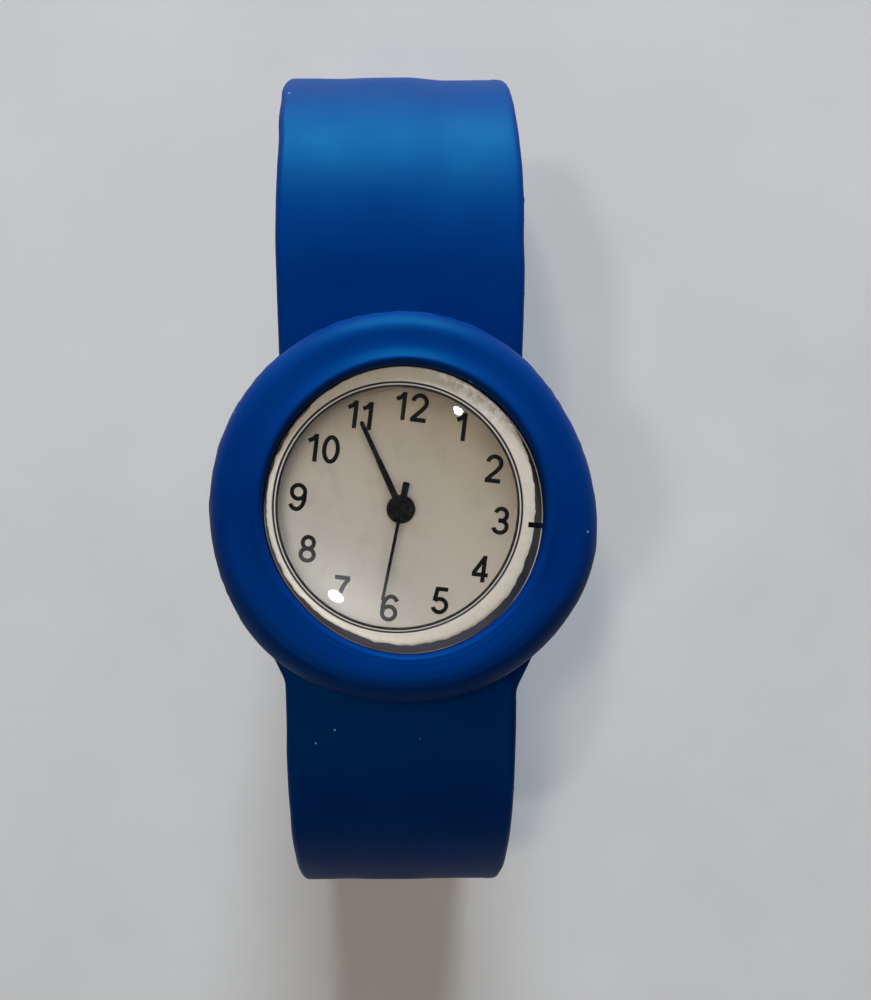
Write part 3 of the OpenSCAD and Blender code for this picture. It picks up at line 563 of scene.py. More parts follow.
# %% Tree helpers
def start_tree(name, sizes):
    tree = bpy.data.node_groups.new(name, "GeometryNodeTree")
    sockets = [("Geometry", "INPUT", "Geometry")] + [(label, "INPUT", "Float") for label in sizes]
    sockets += [("Material", "INPUT", "Material"), ("Geometry", "OUTPUT", "Geometry")]
    for label, way, kind in sockets:
        tree.interface.new_socket(label, in_out=way, socket_type="NodeSocket" + kind)
    steps = Nodes(tree)
    return steps, steps.add("NodeGroupInput").outputs


def end_tree(steps, given, geometry):
    real = steps.add("GeometryNodeRealizeInstances", {"Geometry": geometry}).outputs["Geometry"]
    paint = steps.add("GeometryNodeSetMaterial", {"Geometry": real, "Material": given["Material"]})
    steps.add("NodeGroupOutput", {"Geometry": paint.outputs["Geometry"]})
    return steps.tree


def keep_result(obj, mod):
    # The modifier's result becomes the object's plain mesh
    bpy.context.view_layer.update()
    done = obj.evaluated_get(bpy.context.evaluated_depsgraph_get())
    mesh = bpy.data.meshes.new_from_object(done)
    obj.modifiers.remove(mod)
    obj.data = mesh
    return obj


def through_tree(obj, tree, **values):
    mod = obj.modifiers.new("tree", "NODES")
    mod.node_group = tree
    for item in tree.interface.items_tree:
        key = item.name.replace(" ", "_").lower()
        if item.in_out == "INPUT" and key in values:
            mod[item.identifier] = values[key]
    return keep_result(obj, mod)


print("tree helpers ready")

# %% [markdown]
# ## The curl
# Each point's length along the flat band becomes a place on the path: straight over the top, half a turn round the
# bend, and straight again at the free end. Depth runs inwards from the outer skin. A curve modifier could bend it
# too, but this rule is the frame's own path, so the outer skin keeps its true length.

# %% The curl tree
def curl_tree():
    steps, given = start_tree("curl_band", ("Bend radius", "Flat half", "Side"))
    do = steps.maths
    radius, flat = given["Bend radius"], given["Flat half"]
    place = steps.parts(steps.add("GeometryNodeInputPosition").outputs[0])
    past = do("MAXIMUM", do("SUBTRACT", place["Y"], flat), 0.0)
    angle = do("MINIMUM", do("DIVIDE", past, radius), math.pi)
    beyond = do("MAXIMUM", do("SUBTRACT", past, do("MULTIPLY", radius, math.pi)), 0.0)
    reach = do("SUBTRACT", radius, place["Z"])
    straight = do("MINIMUM", place["Y"], flat)
    y = do("SUBTRACT", do("ADD", straight, do("MULTIPLY", reach, do("SINE", angle))), beyond)
    z = do("ADD", radius, do("MULTIPLY", reach, do("COSINE", angle)))
    moved = steps.vector(X=place["X"], Y=do("MULTIPLY", y, given["Side"]), Z=z)
    move = steps.add("GeometryNodeSetPosition", {"Geometry": given["Geometry"], "Position": moved})
    return end_tree(steps, given, move.outputs["Geometry"])


CURL = curl_tree()


def curled(s, depth):
    # The same rule for one point in the band's middle, used for the blends' ends
    past = max(s - FLAT_HALF, 0.0)
    a = min(past / BEND_R, math.pi)
    y = min(s, FLAT_HALF) + (BEND_R - depth) * math.sin(a) - max(past - ARC, 0.0)
    return Vector((0, y, BEND_R + (BEND_R - depth) * math.cos(a)))


print("curl tree", len(CURL.nodes), "nodes")

# %% [markdown]
# ## One length of band
# The band is one skin, but it has to bend at the frame's hinges, so it is made in lengths that meet edge to edge. A
# single mesh with weights could bend too; lengths keep each piece on two bodies at most. Their normals are taken from
# the flat rows beyond each end and turned with the curl, so no seam shows where two lengths meet.

# %% One length of band
ROW_STEP, END_ROUND, END_TAPER, TIP_ROUND = 0.36, 4.0, 0.31, 1.5


def mark_moulded(obj, places=None):
    # The place in the mould, which the silicone's pattern reads
    if places is None:
        places = np.empty(len(obj.data.vertices) * 3, np.float32)
        obj.data.vertices.foreach_get("co", places)
    if "moulded" not in obj.data.attributes:
        obj.data.attributes.new("moulded", "FLOAT_VECTOR", "POINT")
    obj.data.attributes["moulded"].data.foreach_set("vector", places.astype(np.float32).ravel())


def round_end(grid, s1):
    # The free end is round in outline and soft at its tip
    left = np.clip((s1 - grid[..., 1]) / END_ROUND, 0, 1)
    tip = np.clip((s1 - grid[..., 1]) / TIP_ROUND, 0, 1)
    grid[..., 0] *= 1 - END_TAPER * (1 - np.sqrt(np.clip(1 - (1 - left) ** 2, 0, 1)))
    thick = np.sqrt(np.clip(1 - (1 - tip) ** 2, 0.02, 1))
    grid[..., 2] = BAND_T / 2 + (grid[..., 2] - BAND_T / 2) * thick


def band_length(name, s0, s1, sign, end=False):
    rows = max(6, int(round((s1 - s0) / ROW_STEP)))
    step = (s1 - s0) / rows
    grid = flat_band(s0 + step * np.arange(-1, rows + 2), sign)
    if end:
        round_end(grid, s1)
    across, along, rise = np.moveaxis(skin_normals(grid), -1, 0)
    body = grid[1:-1]
    obj = add_mesh(name, body.reshape(-1, 3), tube_faces(*body.shape[:2]), SILICONE)
    mark_moulded(obj, body * MM * [1, sign, 1])
    through_tree(obj, CURL, bend_radius=BEND_R * MM, flat_half=FLAT_HALF * MM, side=float(sign), material=SILICONE)
    outward(obj)
    a = np.clip((body[..., 1] - FLAT_HALF) / BEND_R, 0, math.pi)
    turned = np.stack([
        across, sign * (along * np.cos(a) + rise * np.sin(a)), rise * np.cos(a) - along * np.sin(a),
    ], -1)
    if end:
        turned[-3:] = 0
    obj.data.normals_split_custom_set_from_vertices(turned.reshape(-1, 3).tolist())
    return obj


print("rows in one link", round(ARC / LINKS / ROW_STEP))

# %% [markdown]
# ## The lengths in place
# The flat top rides on the band's root. Each later length spans one hinge of the frame. It could ride on one body,
# but then the skin would tear at the hinge; here it rides on none and stays where it is made, and the points near its
# ends are worked out but not used. The last length of each side carries the rounded free end.

# %% Lengths in place
LINK_LEN = ARC / LINKS
INSET = 0.06 * LINK_LEN
for sign, label in ((1, "upper"), (-1, "lower")):
    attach(band_length(f"flat_{label}", 0.0, FLAT_HALF, sign), "band")
for sign, label in ((1, "upper"), (-1, "lower")):
    for k in range(1, LINKS + 1):
        s0 = FLAT_HALF + ARC * (k - 1) / LINKS
        s1 = FLAT_HALF + ARC * k / LINKS + (END_LEN if k == LINKS else 0)
        piece = band_length(f"{label}_silicone_{k}", s0, s1, sign, k == LINKS)
        ends = [curled(s, BAND_T / 2) * MM for s in (s0 + INSET, s0 + LINK_LEN - INSET)]
        for p in ends:
            p.y *= sign
        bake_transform(piece)
        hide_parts(f"{label}_band_{k}")
print("band lengths", 2 * (LINKS + 1))

# %% [markdown]
# ## Cutting tools
# The head has a notch for its crown, a hole for the stem and a slot in its rim, and the ring has a recess for the
# crown. They could be modelled into the grids, but a cut with a simple closed tool, a round peg or a box, is
# shorter and true. The tools stand in the head's own turned frame and are thrown away after the cut.

# %% Cutting tools
def head_point(x, y, z):
    c, s = math.cos(DIAL_TURN), math.sin(DIAL_TURN)
    return (x * c - y * s, x * s + y * c, DECK + z)


def cut(obj, tool, painted_shade_lining=None):
    mod = obj.modifiers.new("cut", "BOOLEAN")
    # A lining colours the faces that the tool cuts; here it is used as painted shade
    if painted_shade_lining:
        tool.data.materials.append(painted_shade_lining)
        mod.material_mode = "TRANSFER"
    mod.operation = "DIFFERENCE"
    mod.solver = "EXACT"
    mod.object = tool
    keep_result(obj, mod)
    bpy.data.objects.remove(tool)


def peg(name, x0, x1, radius, sides=48):
    # A round peg along the crown's axis
    pts = [head_point(x, radius * math.cos(a), CROWN_Z + radius * math.sin(a))
           for x in (x0, x1) for a in full_turn(sides)]
    return outward(new_object(name, pts, faces=tube_faces(2, sides)))


def box_tool(name, low, high):
    pts = [head_point(x, y, z) for x in (low[0], high[0]) for y in (low[1], high[1]) for z in (low[2], high[2])]
    faces = [(0, 1, 3, 2), (4, 6, 7, 5), (0, 4, 5, 1), (2, 3, 7, 6), (0, 2, 6, 4), (1, 5, 7, 3)]
    return outward(new_object(name, pts, faces=faces))


print("the head is turned", round(math.degrees(DIAL_TURN), 1), "degrees in its ring")

# %% [markdown]
# ## The ring's profile
# The ring that grips the head is one closed profile: a leaning foot, a rolled outer side, a shallow hollow and a bead
# round the opening. It could be traced as a free curve. Arcs that touch each other give the same soft form from a few
# sizes, and extra points stand at the widest place, where the mould's parting line will run.

# %% Ring profile
FOOT_LEAN = math.radians(4)


def meeting(c, r, d, s):
    # Where a circle of radius r round c meets one of radius s round d
    length = np.linalg.norm(d - c)
    u = (d - c) / length
    a = (r * r - s * s + length * length) / (2 * length)
    h = math.sqrt(max(0, r * r - a * a))
    return c + a * u + h * np.array([u[1], -u[0]])


def aim(v):
    return math.degrees(math.atan2(v[1], v[0]))


def ring_profile():
    roll = np.array([RING_R - ROLL_R, ROLL_H])
    bead = np.array([LIP_R + BEAD_R, RING_H - BEAD_R])
    hollow = meeting(roll, ROLL_R + HOLLOW_R, bead, BEAD_R + HOLLOW_R)
    drop = ROLL_H - ROLL_R * math.sin(FOOT_LEAN) + FOOT_DROP
    foot = RING_R - ROLL_R * (1 - math.cos(FOOT_LEAN)) - drop * math.tan(FOOT_LEAN)
    pts = [(0.5, -FOOT_DROP), (foot - 0.5, -FOOT_DROP), (foot - 0.08, -FOOT_DROP + 0.08),
           (foot + 0.03, -FOOT_DROP + 0.4)]
    pts += [(foot + (z + FOOT_DROP) * math.tan(FOOT_LEAN), z) for z in (0.0, 1.2, 2.4)]
    pts += arc_points(roll, ROLL_R, -3, 3, 9)
    pts += arc_points(roll, ROLL_R, 4, aim(hollow - roll), 24)
    pts += arc_points(hollow, HOLLOW_R, aim(roll - hollow), aim(bead - hollow), 12)[1:]
    pts += arc_points(bead, BEAD_R, aim(hollow - bead), 180, 22)[1:]
    pts += [(POCKET_R, bead[1] - 0.25), (POCKET_R, 3.0), (POCKET_R, 0.25), (POCKET_R - 0.25, 0.02), (0.5, 0.02)]
    return np.array(pts)


print("ring profile", len(ring_profile()), "points")

# %% [markdown]
# ## The silicone ring
# The profile is turned round the head. On the real watch the soft ring is pushed off centre and out of round, it
# swells towards 6 o'clock, and the parting line leaves a thin ragged seam. A lattice could push a true ring about;
# small tables of angle or radius and value say how much goes where. A hidden recess leaves room for the crown.

# %% Ring
RING_TURNS = 320
RING_PUSH = (0.24, -0.41)
RING_BENT = (
    (0, 0.0), (17, -0.45), (33, -0.65), (50, -0.42), (70, -0.10), (90, 0.0), (120, 0.10), (147, 0.25), (165, 0.18),
    (180, 0.14), (200, 0.17), (223, 0.64), (250, 0.25), (270, 0.05), (300, 0.35), (316, 0.50), (332, 0.56),
    (347, 0.68), (354, 0.30),
)
LIP_BENT = ((0, -0.20), (45, -0.12), (90, 0.22), (135, -0.08), (180, -0.14), (225, -0.40), (270, 0.26), (315, 0.32))
NEAR_SWELL = ((14.4, -0.22), (15.04, -0.30), (15.6, 0.0), (16.2, 0.32), (17.0, 0.50), (17.8, 0.40), (18.6, 0.16),
              (19.4, 0.0))
FAR_SWELL = ((14.4, 0.08), (15.04, 0.16), (15.6, 0.08), (16.2, 0.0))
# Radii and heights where a change sets in, and over how much it grows
WALL_FROM, SEAM_FROM, SOFT_FROM, SOFT_OVER, LIP_TO, LIP_OVER = 13, 18, 15.2, 3.3, 17.0, 2.0
FACE_FROM, FACE_OVER, PUSH_FROM, PUSH_OVER = 4.4, 1.2, 3.0, 2.5
SEAM_W, SEAM_OUT, SEAM_ROUGH, RING_SWAY = 0.07, 0.04, 0.09, 0.05
OVAL_X, OVAL_Y, OVAL_IN = 0.11, 0.28, 0.15
RECESS_IN, RECESS_OUT, RECESS_R = 0.6, 1.1, 1.5


def upper_face(z):
    return np.clip((z - FACE_FROM) / FACE_OVER, 0, 1)


def ring_points(profile):
    t = full_turn(RING_TURNS)
    r, z = (np.repeat(profile[None, :, axis], RING_TURNS, 0) for axis in (0, 1))
    for swell, side_of in ((NEAR_SWELL, -1), (FAR_SWELL, 1)):
        share = ease((side_of * np.sin(t) - 0.1) / 0.6)
        lift = np.interp(profile[:, 0], *zip(*swell)) * upper_face(profile[:, 1])
        z = z + share[:, None] * lift[None, :]
    round_way = t * RING_R
    seam = bell(z - ROLL_H, SEAM_W) * (r > SEAM_FROM)
    grain = 0.5 + 0.5 * wander(round_way, 71, 0.8)
    r = r + seam * (SEAM_OUT + SEAM_ROUGH * grain)[:, None]
    sway = RING_SWAY * wander(round_way, 72, 9.0) * (1 - np.abs(np.linspace(-1, 1, RING_TURNS)) ** 8)
    r = r + np.where(r > WALL_FROM, sway[:, None], 0)
    lip = np.clip((LIP_TO - r) / LIP_OVER, 0, 1) * upper_face(z) * (r > WALL_FROM)
    soft = ease((r - SOFT_FROM) / SOFT_OVER)
    oval = OVAL_X * np.cos(t) ** 2 + OVAL_Y * np.sin(t) ** 2 - OVAL_IN
    r = r + lip * around(LIP_BENT, t)[:, None]
    r = r + soft * (oval + around(RING_BENT, t))[:, None]
    soft = np.maximum(soft, np.clip((z - PUSH_FROM) / PUSH_OVER, 0, 1) * (r > WALL_FROM))
    x = r * np.cos(t)[:, None] + soft * RING_PUSH[0]
    y = r * np.sin(t)[:, None] + soft * RING_PUSH[1]
    return np.stack([x, y, DECK + z], -1).reshape(-1, 3)


def ring():
    profile = ring_profile()
    faces = spin_faces(len(profile), RING_TURNS)
    obj = outward(add_mesh("silicone_ring", ring_points(profile), faces, SILICONE))
    cut(obj, peg("crown_recess", POCKET_R - RECESS_IN, POCKET_R + RECESS_OUT, RECESS_R))
    shade(obj, 70)
    mark_moulded(obj)
    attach(obj, "band")
    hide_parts("band_centre")
    return obj


ring_piece = ring()
print("ring", len(ring_piece.data.polygons), "faces")

# %% [markdown]
# ## Webs at the ring's foot
# On the 6 o'clock side two small webs of silicone fill the corner between the ring's foot and the band's edges. They
# could be drawn into the ring, but they belong to a few degrees of it only, so each is a short stack of outlines: an
# arc that leaves the ring and runs into the band's edge, rounded at its top and bottom.

# %% Webs at the ring's foot
FOOT_R, WEB_R, WEB_ROOT, WEB_LEAVES = 19.85, 4.0, 3.0, math.radians(25)
WEB_LEVELS = ((0.0, 0.35), (0.35, 0.0), (1.1, 0.0), (1.3, 0.12), (1.36, 0.35))


def webs():
    edge = BAND_W / 2 - 0.15
    out = Vector((math.cos(WEB_LEAVES), math.sin(WEB_LEAVES)))
    points, faces = [], []
    for sx in (1, -1):
        push = Vector((sx * RING_PUSH[0], -RING_PUSH[1]))
        cx = edge + WEB_R
        cy = (FOOT_R + WEB_R + out.dot(push) - out.x * cx) / out.y
        leave = push + out * FOOT_R
        curve = [tuple(leave)] + arc_points((cx, cy), WEB_R, 205, 180, 14)
        outline = curve + [(edge - WEB_ROOT, cy), (edge - WEB_ROOT, leave.y)]
        faces += tube_faces(len(WEB_LEVELS), len(outline), len(points))
        for h, inset in WEB_LEVELS:
            for i, (x, y) in enumerate(outline):
                pull = Vector((cx - x, cy - y)).normalized() * (-inset if 0 < i < len(curve) else 0)
                points.append((sx * (x + pull.x), -(y + pull.y), DECK - FOOT_DROP + h))
    obj = outward(add_mesh("ring_webs", points, faces, SILICONE))
    mark_moulded(obj)
    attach(obj, "band")
    return obj


web_piece = webs()
print("webs", len(web_piece.data.polygons), "faces")

# %% [markdown]
# ## The chromed case
# The case is a zinc casting, turned and plated. At 12 o'clock its ground top runs right to the silicone, at 6 o'clock
# the polished bevel shows as a band painted dark as shade, and the plating's edge is ragged. A plain turned profile
# can't do that, so the profile changes with the angle: the wall leans out to follow the lip, and the seat follows the
# crystal. A notch in the side takes the crown, and a slot in the rim lets a fingernail lift the head; black ink lines
# the slot as painted shade.

# %% Case
CASE_TURNS = 288
CRYSTAL_AT = (-0.36, 0.0)
RIM_EDGE = (
    (0, 13.45), (25, 13.78), (48, 14.05), (62, 14.05), (90, 14.25), (110, 13.9), (141, 13.5), (180, 13.6),
    (217, 13.55), (249, 13.55), (262, 13.9), (278, 14.0), (293, 14.03), (308, 14.08), (324, 14.0), (345, 13.55),
)
# For each layer of the plating's ragged edge its seed, depth and step
RAGGED = ((81, 0.08, 0.5), (82, 0.05, 1.7))
LIP_GAP, RIM_GAP, SEAT_GAP = 0.07, 0.08, 0.52
NOTCH_FROM, NOTCH_R, STEM_FROM, STEM_R, CUT_TO = 13.46, 1.32, 11.0, 0.44, 15.5
SLOT_IN, SLOT_HALF, SLOT_DEEP = 1.35, 0.27, 0.8


def case_points(t):
    round_way = t * CASE_R
    lip = LIP_R + around(LIP_BENT, t) - LIP_GAP
    reach = lip + RING_PUSH[0] * np.cos(t) + RING_PUSH[1] * np.sin(t)
    ragged = sum(depth * wander(round_way, seed, step) for seed, depth, step in RAGGED)
    rim = np.minimum(around(RIM_EDGE, t) + ragged, reach - RIM_GAP)
    lean = reach - CASE_R
    seat = CRYSTAL_V + SEAT_GAP
    top = CASE_TOP
    stretches = (
        ((0, 0), [(BORE_R, 0.5), (CASE_R - 0.1, 0.5), (CASE_R, 0.6), (CASE_R, 2.6), (CASE_R + 0.2 * lean, 3.6),
                  (CASE_R + 0.55 * lean, 4.8)]),
        (RING_PUSH, [(lip, top - 0.90), (lip, top - 0.80), (lip - 0.02, top - 0.78), (lip - 0.12, top - 0.76)]),
        ((0, 0), [(rim + 0.08, top - 0.19), (rim + 0.02, top - 0.10), (rim - 0.14, top - 0.045), (rim - 0.42, top)]),
        (CRYSTAL_AT, [(seat + 0.1, top), (seat + 0.02, top - 0.03), (seat, top - 0.12), (seat, SEAT_Z),
                      (SIGHT_V, SEAT_Z), (SIGHT_V, DIAL_TOP + 0.02)]),
        ((0, 0), [(BORE_R, DIAL_TOP + 0.02)]),
    )
    columns = [
        np.stack([r * np.cos(t) + dx, r * np.sin(t) + dy, np.full(len(t), DECK + z)], -1)
        for (dx, dy), stretch in stretches for r, z in stretch
    ]
    return np.stack(columns, 1)


def watch_case():
    points = case_points(full_turn(CASE_TURNS))
    faces = spin_faces(points.shape[1], CASE_TURNS)
    obj = outward(add_mesh("chrome_case", points.reshape(-1, 3), faces, CHROME))
    cut(obj, peg("crown_notch", NOTCH_FROM, CUT_TO, NOTCH_R))
    cut(obj, peg("stem_hole", STEM_FROM, CUT_TO, STEM_R))
    low, high = (CASE_R - SLOT_IN, -SLOT_HALF, CASE_TOP - SLOT_DEEP), (CASE_R + 1, SLOT_HALF, CASE_TOP + 1)
    # The slot's inner faces take the black ink as painted shade
    cut(obj, box_tool("rim_slot", low, high), INK)
    shade(obj, 18)
    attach(obj, "head")
    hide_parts("watch_case")
    return obj


case_piece = watch_case()
print("case", len(case_piece.data.polygons), "faces")

# %% [markdown]
# ## Crystal and seal
# The crystal is a shallow moulded dome, and a black rubber seal holds it in the case. A single bent face could pass
# for the crystal, but only a body with its own thickness bends the light at its edge and mirrors the lamps as the real
# one does. Both are turned round the crystal's axis, which is a little off the dial's.

# %% Crystal and seal
DOME_STEPS, UNDER_RISE, OVER_RISE, UNDER_INSET, SEAL_W = 40, 0.5, 1.2, 0.25, 0.48


def spun(name, profile, material, turns=224):
    profile = np.array(profile, float)
    t = full_turn(turns)
    points = np.stack([
        profile[None, :, 0] * np.cos(t)[:, None] + CRYSTAL_AT[0],
        profile[None, :, 0] * np.sin(t)[:, None] + CRYSTAL_AT[1],
        np.repeat(DECK + profile[None, :, 1], turns, 0),
    ], -1)
    obj = outward(add_mesh(name, points.reshape(-1, 3), spin_faces(len(profile), turns), material))
    far = obj.data.attributes.new("radius", "FLOAT", "POINT")
    far.data.foreach_set("value", np.tile(profile[:, 0], turns).astype(np.float32))
    return obj


def dome(radius, base, rise, start, end):
    big = (radius * radius + rise * rise) / (2 * rise)
    return [(r, base + rise - big + math.sqrt(big * big - r * r)) for r in np.linspace(start, end, DOME_STEPS)]


def crystal():
    low, high, edge = SEAT_Z + 0.02, CRYSTAL_EDGE_Z, CRYSTAL_V
    under = dome(edge - UNDER_INSET, low, UNDER_RISE, 0.02, edge - UNDER_INSET)
    over = dome(edge, high, OVER_RISE, edge - 0.06, 0.02)
    rim = [(edge - 0.05, low), (edge, low + 0.05), (edge, high - 0.04), (edge - 0.02, high)]
    obj = spun("domed_crystal", under + rim + over, CRYSTAL)
    shade(obj, 40)
    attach(obj, "head")
    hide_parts("crystal")
    return obj


def seal():
    a, low, high = CRYSTAL_V + 0.02, SEAT_Z + 0.02, CASE_TOP - 0.02
    b = a + SEAL_W
    profile = [(a + 0.04, low), (b - 0.04, low), (b, low + 0.04), (b, high - 0.12), (b - 0.03, high - 0.03),
               (b - 0.08, high)]
    profile += [(a + r, high - 0.02) for r in (0.38, 0.34, 0.30, 0.26, 0.22, 0.18, 0.14)]
    profile += [(a + 0.06, high), (a + 0.02, high - 0.03), (a, high - 0.1), (a, low + 0.04)]
    obj = spun("crystal_gasket", profile, SEAL)
    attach(obj, "head")
    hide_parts("crystal_seal")
    return obj


for piece in (crystal(), seal()):
    print(piece.name, len(piece.data.polygons), "faces")

# %% [markdown]
# ## Strokes of the figures
# The twelve figures are printed black, upright to the dial, in a plain lettering of even strokes. A text object could
# write them, but its lettering is another one, so each figure is drawn here as the middle lines of its strokes in a
# box one unit high. The 9 is the 6 turned half round.

# %% Strokes of the figures
DIGIT_STEP, NARROW_STEP = 0.64, 0.54


def bow(cx, cy, rx, ry, start, end):
    count = max(3, int(abs(end - start) / 8))
    return [(cx + rx * math.cos(a), cy + ry * math.sin(a)) for a in np.radians(np.linspace(start, end, count))]


SIX = [bow(0.0, 0.31, 0.245, 0.2475, 0, 360), bow(0.04, 0.50, 0.285, 0.4375, 38, 196)]
STROKES = {
    "0": [bow(0, 0.5, 0.245, 0.4375, 0, 360)],
    "1": [[(0.08, 0.0), (0.08, 0.5), (0.08, 1.0)], [(0.06, 0.93), (-0.03, 0.82), (-0.20, 0.725)]],
    "2": [bow(0, 0.69, 0.245, 0.2475, 172, -28) + [(0.09, 0.41), (-0.09, 0.23), (-0.24, 0.06)],
          [(-0.29, 0.0625), (0.28, 0.0625)]],
    "3": [bow(-0.01, 0.715, 0.215, 0.2225, 165, -90) + [(-0.09, 0.4925)],
          [(-0.09, 0.5075)] + bow(0, 0.285, 0.245, 0.2225, 90, -165)],
    "4": [[(0.11, 0.0), (0.11, 1.0)], [(0.11, 0.95), (-0.26, 0.31)], [(-0.31, 0.28), (0.29, 0.28)]],
    "5": [[(-0.17, 0.9375), (0.25, 0.9375)], [(-0.135, 0.99), (-0.205, 0.47)],
          bow(0, 0.315, 0.25, 0.2525, 142, -162)],
    "6": SIX,
    "7": [[(-0.28, 0.9375), (0.285, 0.9375)],
          [(0.25, 0.92), (0.13, 0.76), (0.04, 0.57), (-0.03, 0.35), (-0.07, 0.15), (-0.085, 0.0)]],
    "8": [bow(0, 0.725, 0.205, 0.2125, 0, 360), bow(0, 0.285, 0.245, 0.2225, 0, 360)],
    "9": [[(-x, 1 - y) for x, y in line] for line in SIX],
}


def figure_lines(name, text, height):
    # A mesh of bare edges along the middle lines of the figure's strokes
    points, edges = [], []
    for i, sign in enumerate(text):
        shift = (i - (len(text) - 1) / 2) * (NARROW_STEP if text == "11" else DIGIT_STEP)
        for line in STROKES[sign]:
            closed = math.dist(line[0], line[-1]) < 1e-6
            line = line[:-1] if closed else line
            first = len(points)
            points += [((x + shift) * height, (y - 0.5) * height, 0.0) for x, y in line]
            edges += [(first + k, first + k + 1) for k in range(len(line) - 1)]
            if closed:
                edges.append((first + len(line) - 1, first))
    return new_object(name, points, edges)


print("strokes", sum(len(lines) for lines in STROKES.values()))

# %% [markdown]
# ## The figure tree
# Every figure is printed in the same way, so one node tree does it: it gives each middle line the width of a stroke
# with a square nib, presses it as thin as ink, moves it to its hour and turns it with the dial. A bevel on a curve
# could give the width, but not a flat print.

# %% The figure tree
def figure_tree():
    steps, given = start_tree("dial_figure", ("Stroke", "Ink", "Across", "Up", "Level", "Turn"))
    curve = steps.add("GeometryNodeMeshToCurve", {"Mesh": given["Geometry"]}).outputs["Curve"]
    nib = steps.add("GeometryNodeCurvePrimitiveQuadrilateral", {
        "Width": given["Stroke"], "Height": given["Stroke"]}).outputs["Curve"]
    bars = steps.add("GeometryNodeCurveToMesh", {"Curve": curve, "Profile Curve": nib, "Fill Caps": True})
    press = steps.add("GeometryNodeTransform", {
        "Geometry": bars.outputs["Mesh"],
        "Scale": steps.vector(X=1.0, Y=1.0, Z=steps.maths("DIVIDE", given["Ink"], given["Stroke"])),
        "Translation": steps.vector(X=given["Across"], Y=given["Up"], Z=given["Level"]),
    })
    turn = steps.add("GeometryNodeTransform", {
        "Geometry": press.outputs["Geometry"], "Rotation": steps.vector(Z=given["Turn"])})
    return end_tree(steps, given, turn.outputs["Geometry"])


FIGURE = figure_tree()
print("figure tree", len(FIGURE.nodes), "nodes")

# %% [markdown]
# ## Figures on the dial
# The hours stand on one circle, thirty degrees apart, but the print has slipped sideways a little at four of them. The
# twelve results could stay apart; one joined mesh is the single printed layer that it is on the real dial.

# %% Figures on the dial
FIGURE_AT, FIGURE_H, STROKE_W, INK_T, INK_GAP = 10.22, 2.78, 0.43, 0.02, 0.012
PRINT_SLIP = {8: -0.12, 9: -0.28, 10: 0.28, 12: -0.24}


def figures():
    made = []
    for hour in range(1, 13):
        a = math.radians(90 - 30 * hour)
        across = FIGURE_AT * math.cos(a) + PRINT_SLIP.get(hour, 0.0)
        obj = figure_lines(f"figure_{hour}", str(hour), FIGURE_H)
        through_tree(
            obj, FIGURE, stroke=STROKE_W * MM, ink=INK_T * MM, across=across * MM,
            up=FIGURE_AT * math.sin(a) * MM, level=(DECK + DIAL_TOP + INK_GAP) * MM, turn=DIAL_TURN, material=INK,
        )
        made.append(outward(obj))
    bpy.ops.object.select_all(action="DESELECT")
    for obj in made:
        obj.select_set(True)
    bpy.context.view_layer.objects.active = made[0]
    bpy.ops.object.join()
    made[0].name = "dial_figures"
    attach(made[0], "head")
    return made[0]


figure_piece = figures()
print("figures", len(figure_piece.data.polygons), "faces")

# %% [markdown]
# ## Hands
# The hands are stamped from thin brass sheet and lacquered black: a bar with softened edges on a round hub, stacked
# hour, minute, second, and the second hand has a short counterweight and a small cap. A bevel modifier could soften
# the edges. A third ring of points set a little inwards does it here, with few faces. They stand as in the photograph.

# %% Hands
SHOWN_MIN, SHOWN_SEC, HOUR_AHEAD = 654.8, 30.8, 1.4
SOFT_EDGE = 0.05
TAIL = [(-0.5, 0.34), (-2.7, 0.34), (-2.78, 0.26), (-2.78, -0.26), (-2.7, -0.34), (-0.5, -0.34)]


def slab(outline, z, thickness=HAND_T, soft=SOFT_EDGE):
    # A flat outline with a softened upper edge
    outline = np.asarray(outline, float)
    tangent = np.roll(outline, -1, 0) - np.roll(outline, 1, 0)
    normal = np.stack([tangent[:, 1], -tangent[:, 0]], -1)
    normal /= np.maximum(np.linalg.norm(normal, axis=1, keepdims=True), 1e-9)
    if (normal * (outline - outline.mean(0))).sum() < 0:
        normal = -normal
    levels = ((outline, z), (outline, z + thickness - soft), (outline - normal * soft, z + thickness))
    return [(x, y, height) for line, height in levels for x, y in line], len(levels), len(outline)


def disc(radius):
    return [(radius * math.cos(a), radius * math.sin(a)) for a in full_turn(64)]


def bar(start, end, w0, w1):
    return [(start, -w0 / 2), (end - w1 / 3, -w1 / 2), (end, -w1 / 4), (end, w1 / 4), (end - w1 / 3, w1 / 2),
            (start, w0 / 2)]


def hand(name, body, node, clock, slabs):
    points, faces = [], []
    for more, rows, cols in slabs:
        faces += tube_faces(rows, cols, len(points))
        points += more
    angle = math.radians(90 - clock) + DIAL_TURN
    c, s = math.cos(angle), math.sin(angle)
    placed = [(x * c - y * s, x * s + y * c, DECK + z) for x, y, z in points]
    obj = outward(add_mesh(name, placed, faces, HANDS))
    shade(obj, 30)
    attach(obj, body)
    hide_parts(node)
    print(name, len(obj.data.polygons), "faces")


hand("hour_pointer", "hours", "hour_hand", SHOWN_MIN / 2 + HOUR_AHEAD, [
    slab(bar(0.6, 5.6, 0.70, 0.58), HOUR_Z), slab(disc(1.45), HOUR_Z)])
hand("minute_pointer", "minutes", "minute_hand", 6 * SHOWN_MIN, [
    slab(bar(0.6, 9.6, 0.58, 0.45), MINUTE_Z), slab(disc(1.30), MINUTE_Z)])
hand("second_pointer", "seconds", "second_hand", 6 * SHOWN_SEC, [
    slab(bar(0.5, 9.5, 0.34, 0.32), SECOND_Z), slab(TAIL, SECOND_Z), slab(disc(1.0), SECOND_Z),
    slab(disc(0.6), SECOND_Z + HAND_T - 0.01, 0.15, 0.07)])
